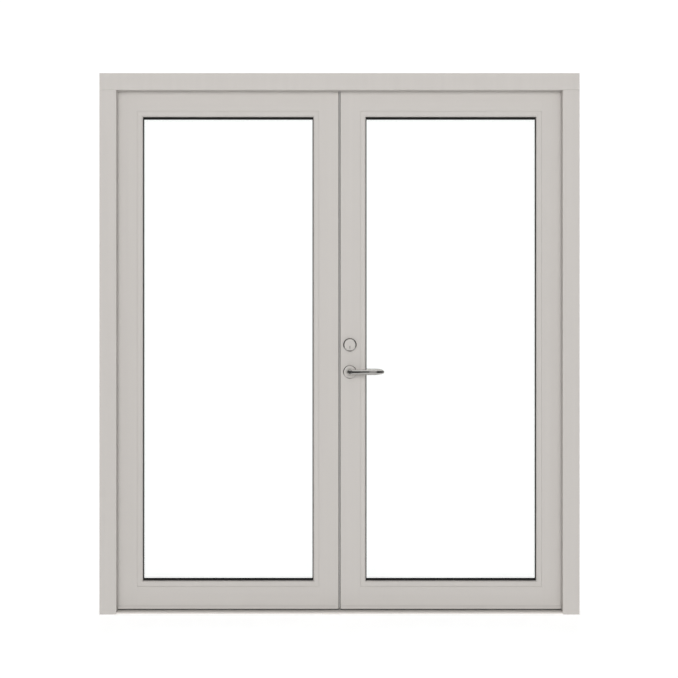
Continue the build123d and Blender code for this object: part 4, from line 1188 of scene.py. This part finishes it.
# Places of the screws in mm: x and z in the two meeting edges, x, y and z in the head and the threshold
FACEPLATE_X, FACEPLATE_Z = 4.0, (75.0, 330.0, 590.0, 830.0, 985.0, 1080.0, 1290.0, 1550.0, 1790.0, 2005.0)
PASSIVE_X, PASSIVE_Z = -4.0, ((1022.1, 26.0), (1864.0, 46.0), (215.5, 46.0))
KEEP_X, KEEP_Y, KEEP_Z = (13.3, -19.5), (-14.2, 14.2), 2068.0
SILL_X, SILL_Y, SILL_Z = (-840.0, -560.0, -280.0, 90.0, 280.0, 560.0, 840.0), -2.0, 10.0
KEEP_SCREW, SILL_SCREW = 2.8, 3.8


def screws(hinges: Hinges) -> list[ScrewSet]:
    """All screws of the door set.

    Args:
        hinges: the hinges, which give the places in their plates.

    Returns:
        Sets of screws, each on one body and facing one way.
    """
    faceplate = [(FACEPLATE_X, 0.0, z) for z in FACEPLATE_Z]
    passive_edge = [(PASSIVE_X, 0.0, z + step) for z, half in PASSIVE_Z for step in (-half, half)]
    keeps = [(x, y, KEEP_Z) for x in KEEP_X for y in KEEP_Y]
    threshold = [(x, SILL_Y, SILL_Z) for x in SILL_X]
    return [ScrewSet("left_jamb_hinge_screws", Body.FRAME, hinges.screws(-1.0, False), RIGHT),
            ScrewSet("right_jamb_hinge_screws", Body.FRAME, hinges.screws(1.0, False), LEFT),
            ScrewSet("passive_hinge_screws", Body.PASSIVE, hinges.screws(-1.0, True), LEFT),
            ScrewSet("active_hinge_screws", Body.ACTIVE, hinges.screws(1.0, True), RIGHT),
            ScrewSet("faceplate_screws", Body.ACTIVE, faceplate, LEFT),
            ScrewSet("passive_edge_screws", Body.PASSIVE, passive_edge, RIGHT),
            ScrewSet("keep_screws", Body.FRAME, keeps, DOWN, KEEP_SCREW),
            ScrewSet("threshold_screws", Body.FRAME, threshold, UP, SILL_SCREW)]


def main() -> None:
    """Dress the doors, report each piece and set up the studio."""
    logging.basicConfig(level=logging.INFO)
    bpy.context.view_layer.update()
    palette, hinges, thumbturn = Palette(), Hinges(), Thumbturn()
    outer = LeverHandle("outer_lever_grip", "outer_lever", -1.0)
    inner = LeverHandle("inner_lever_grip", "inner_lever", 1.0)
    pieces = [CadDress(), outer, inner,
              Rose("outer_rose_ring", "outer_rose", outer.spindle, outer.outward),
              Rose("inner_rose_ring", "inner_rose", inner.spindle, inner.outward),
              Rose("thumbturn_rose_ring", "thumbturn_rose", thumbturn.centre, inner.outward, bore=6.3),
              LockCylinder(), thumbturn, hinges, *screws(hinges)]
    for piece in pieces:
        for obj in piece.build(palette):
            LOG.info("%s: %s, %d faces", obj.name, obj.data.materials[0].name, len(obj.data.polygons))
    Studio().build()


if __name__ == "__main__":
    main()
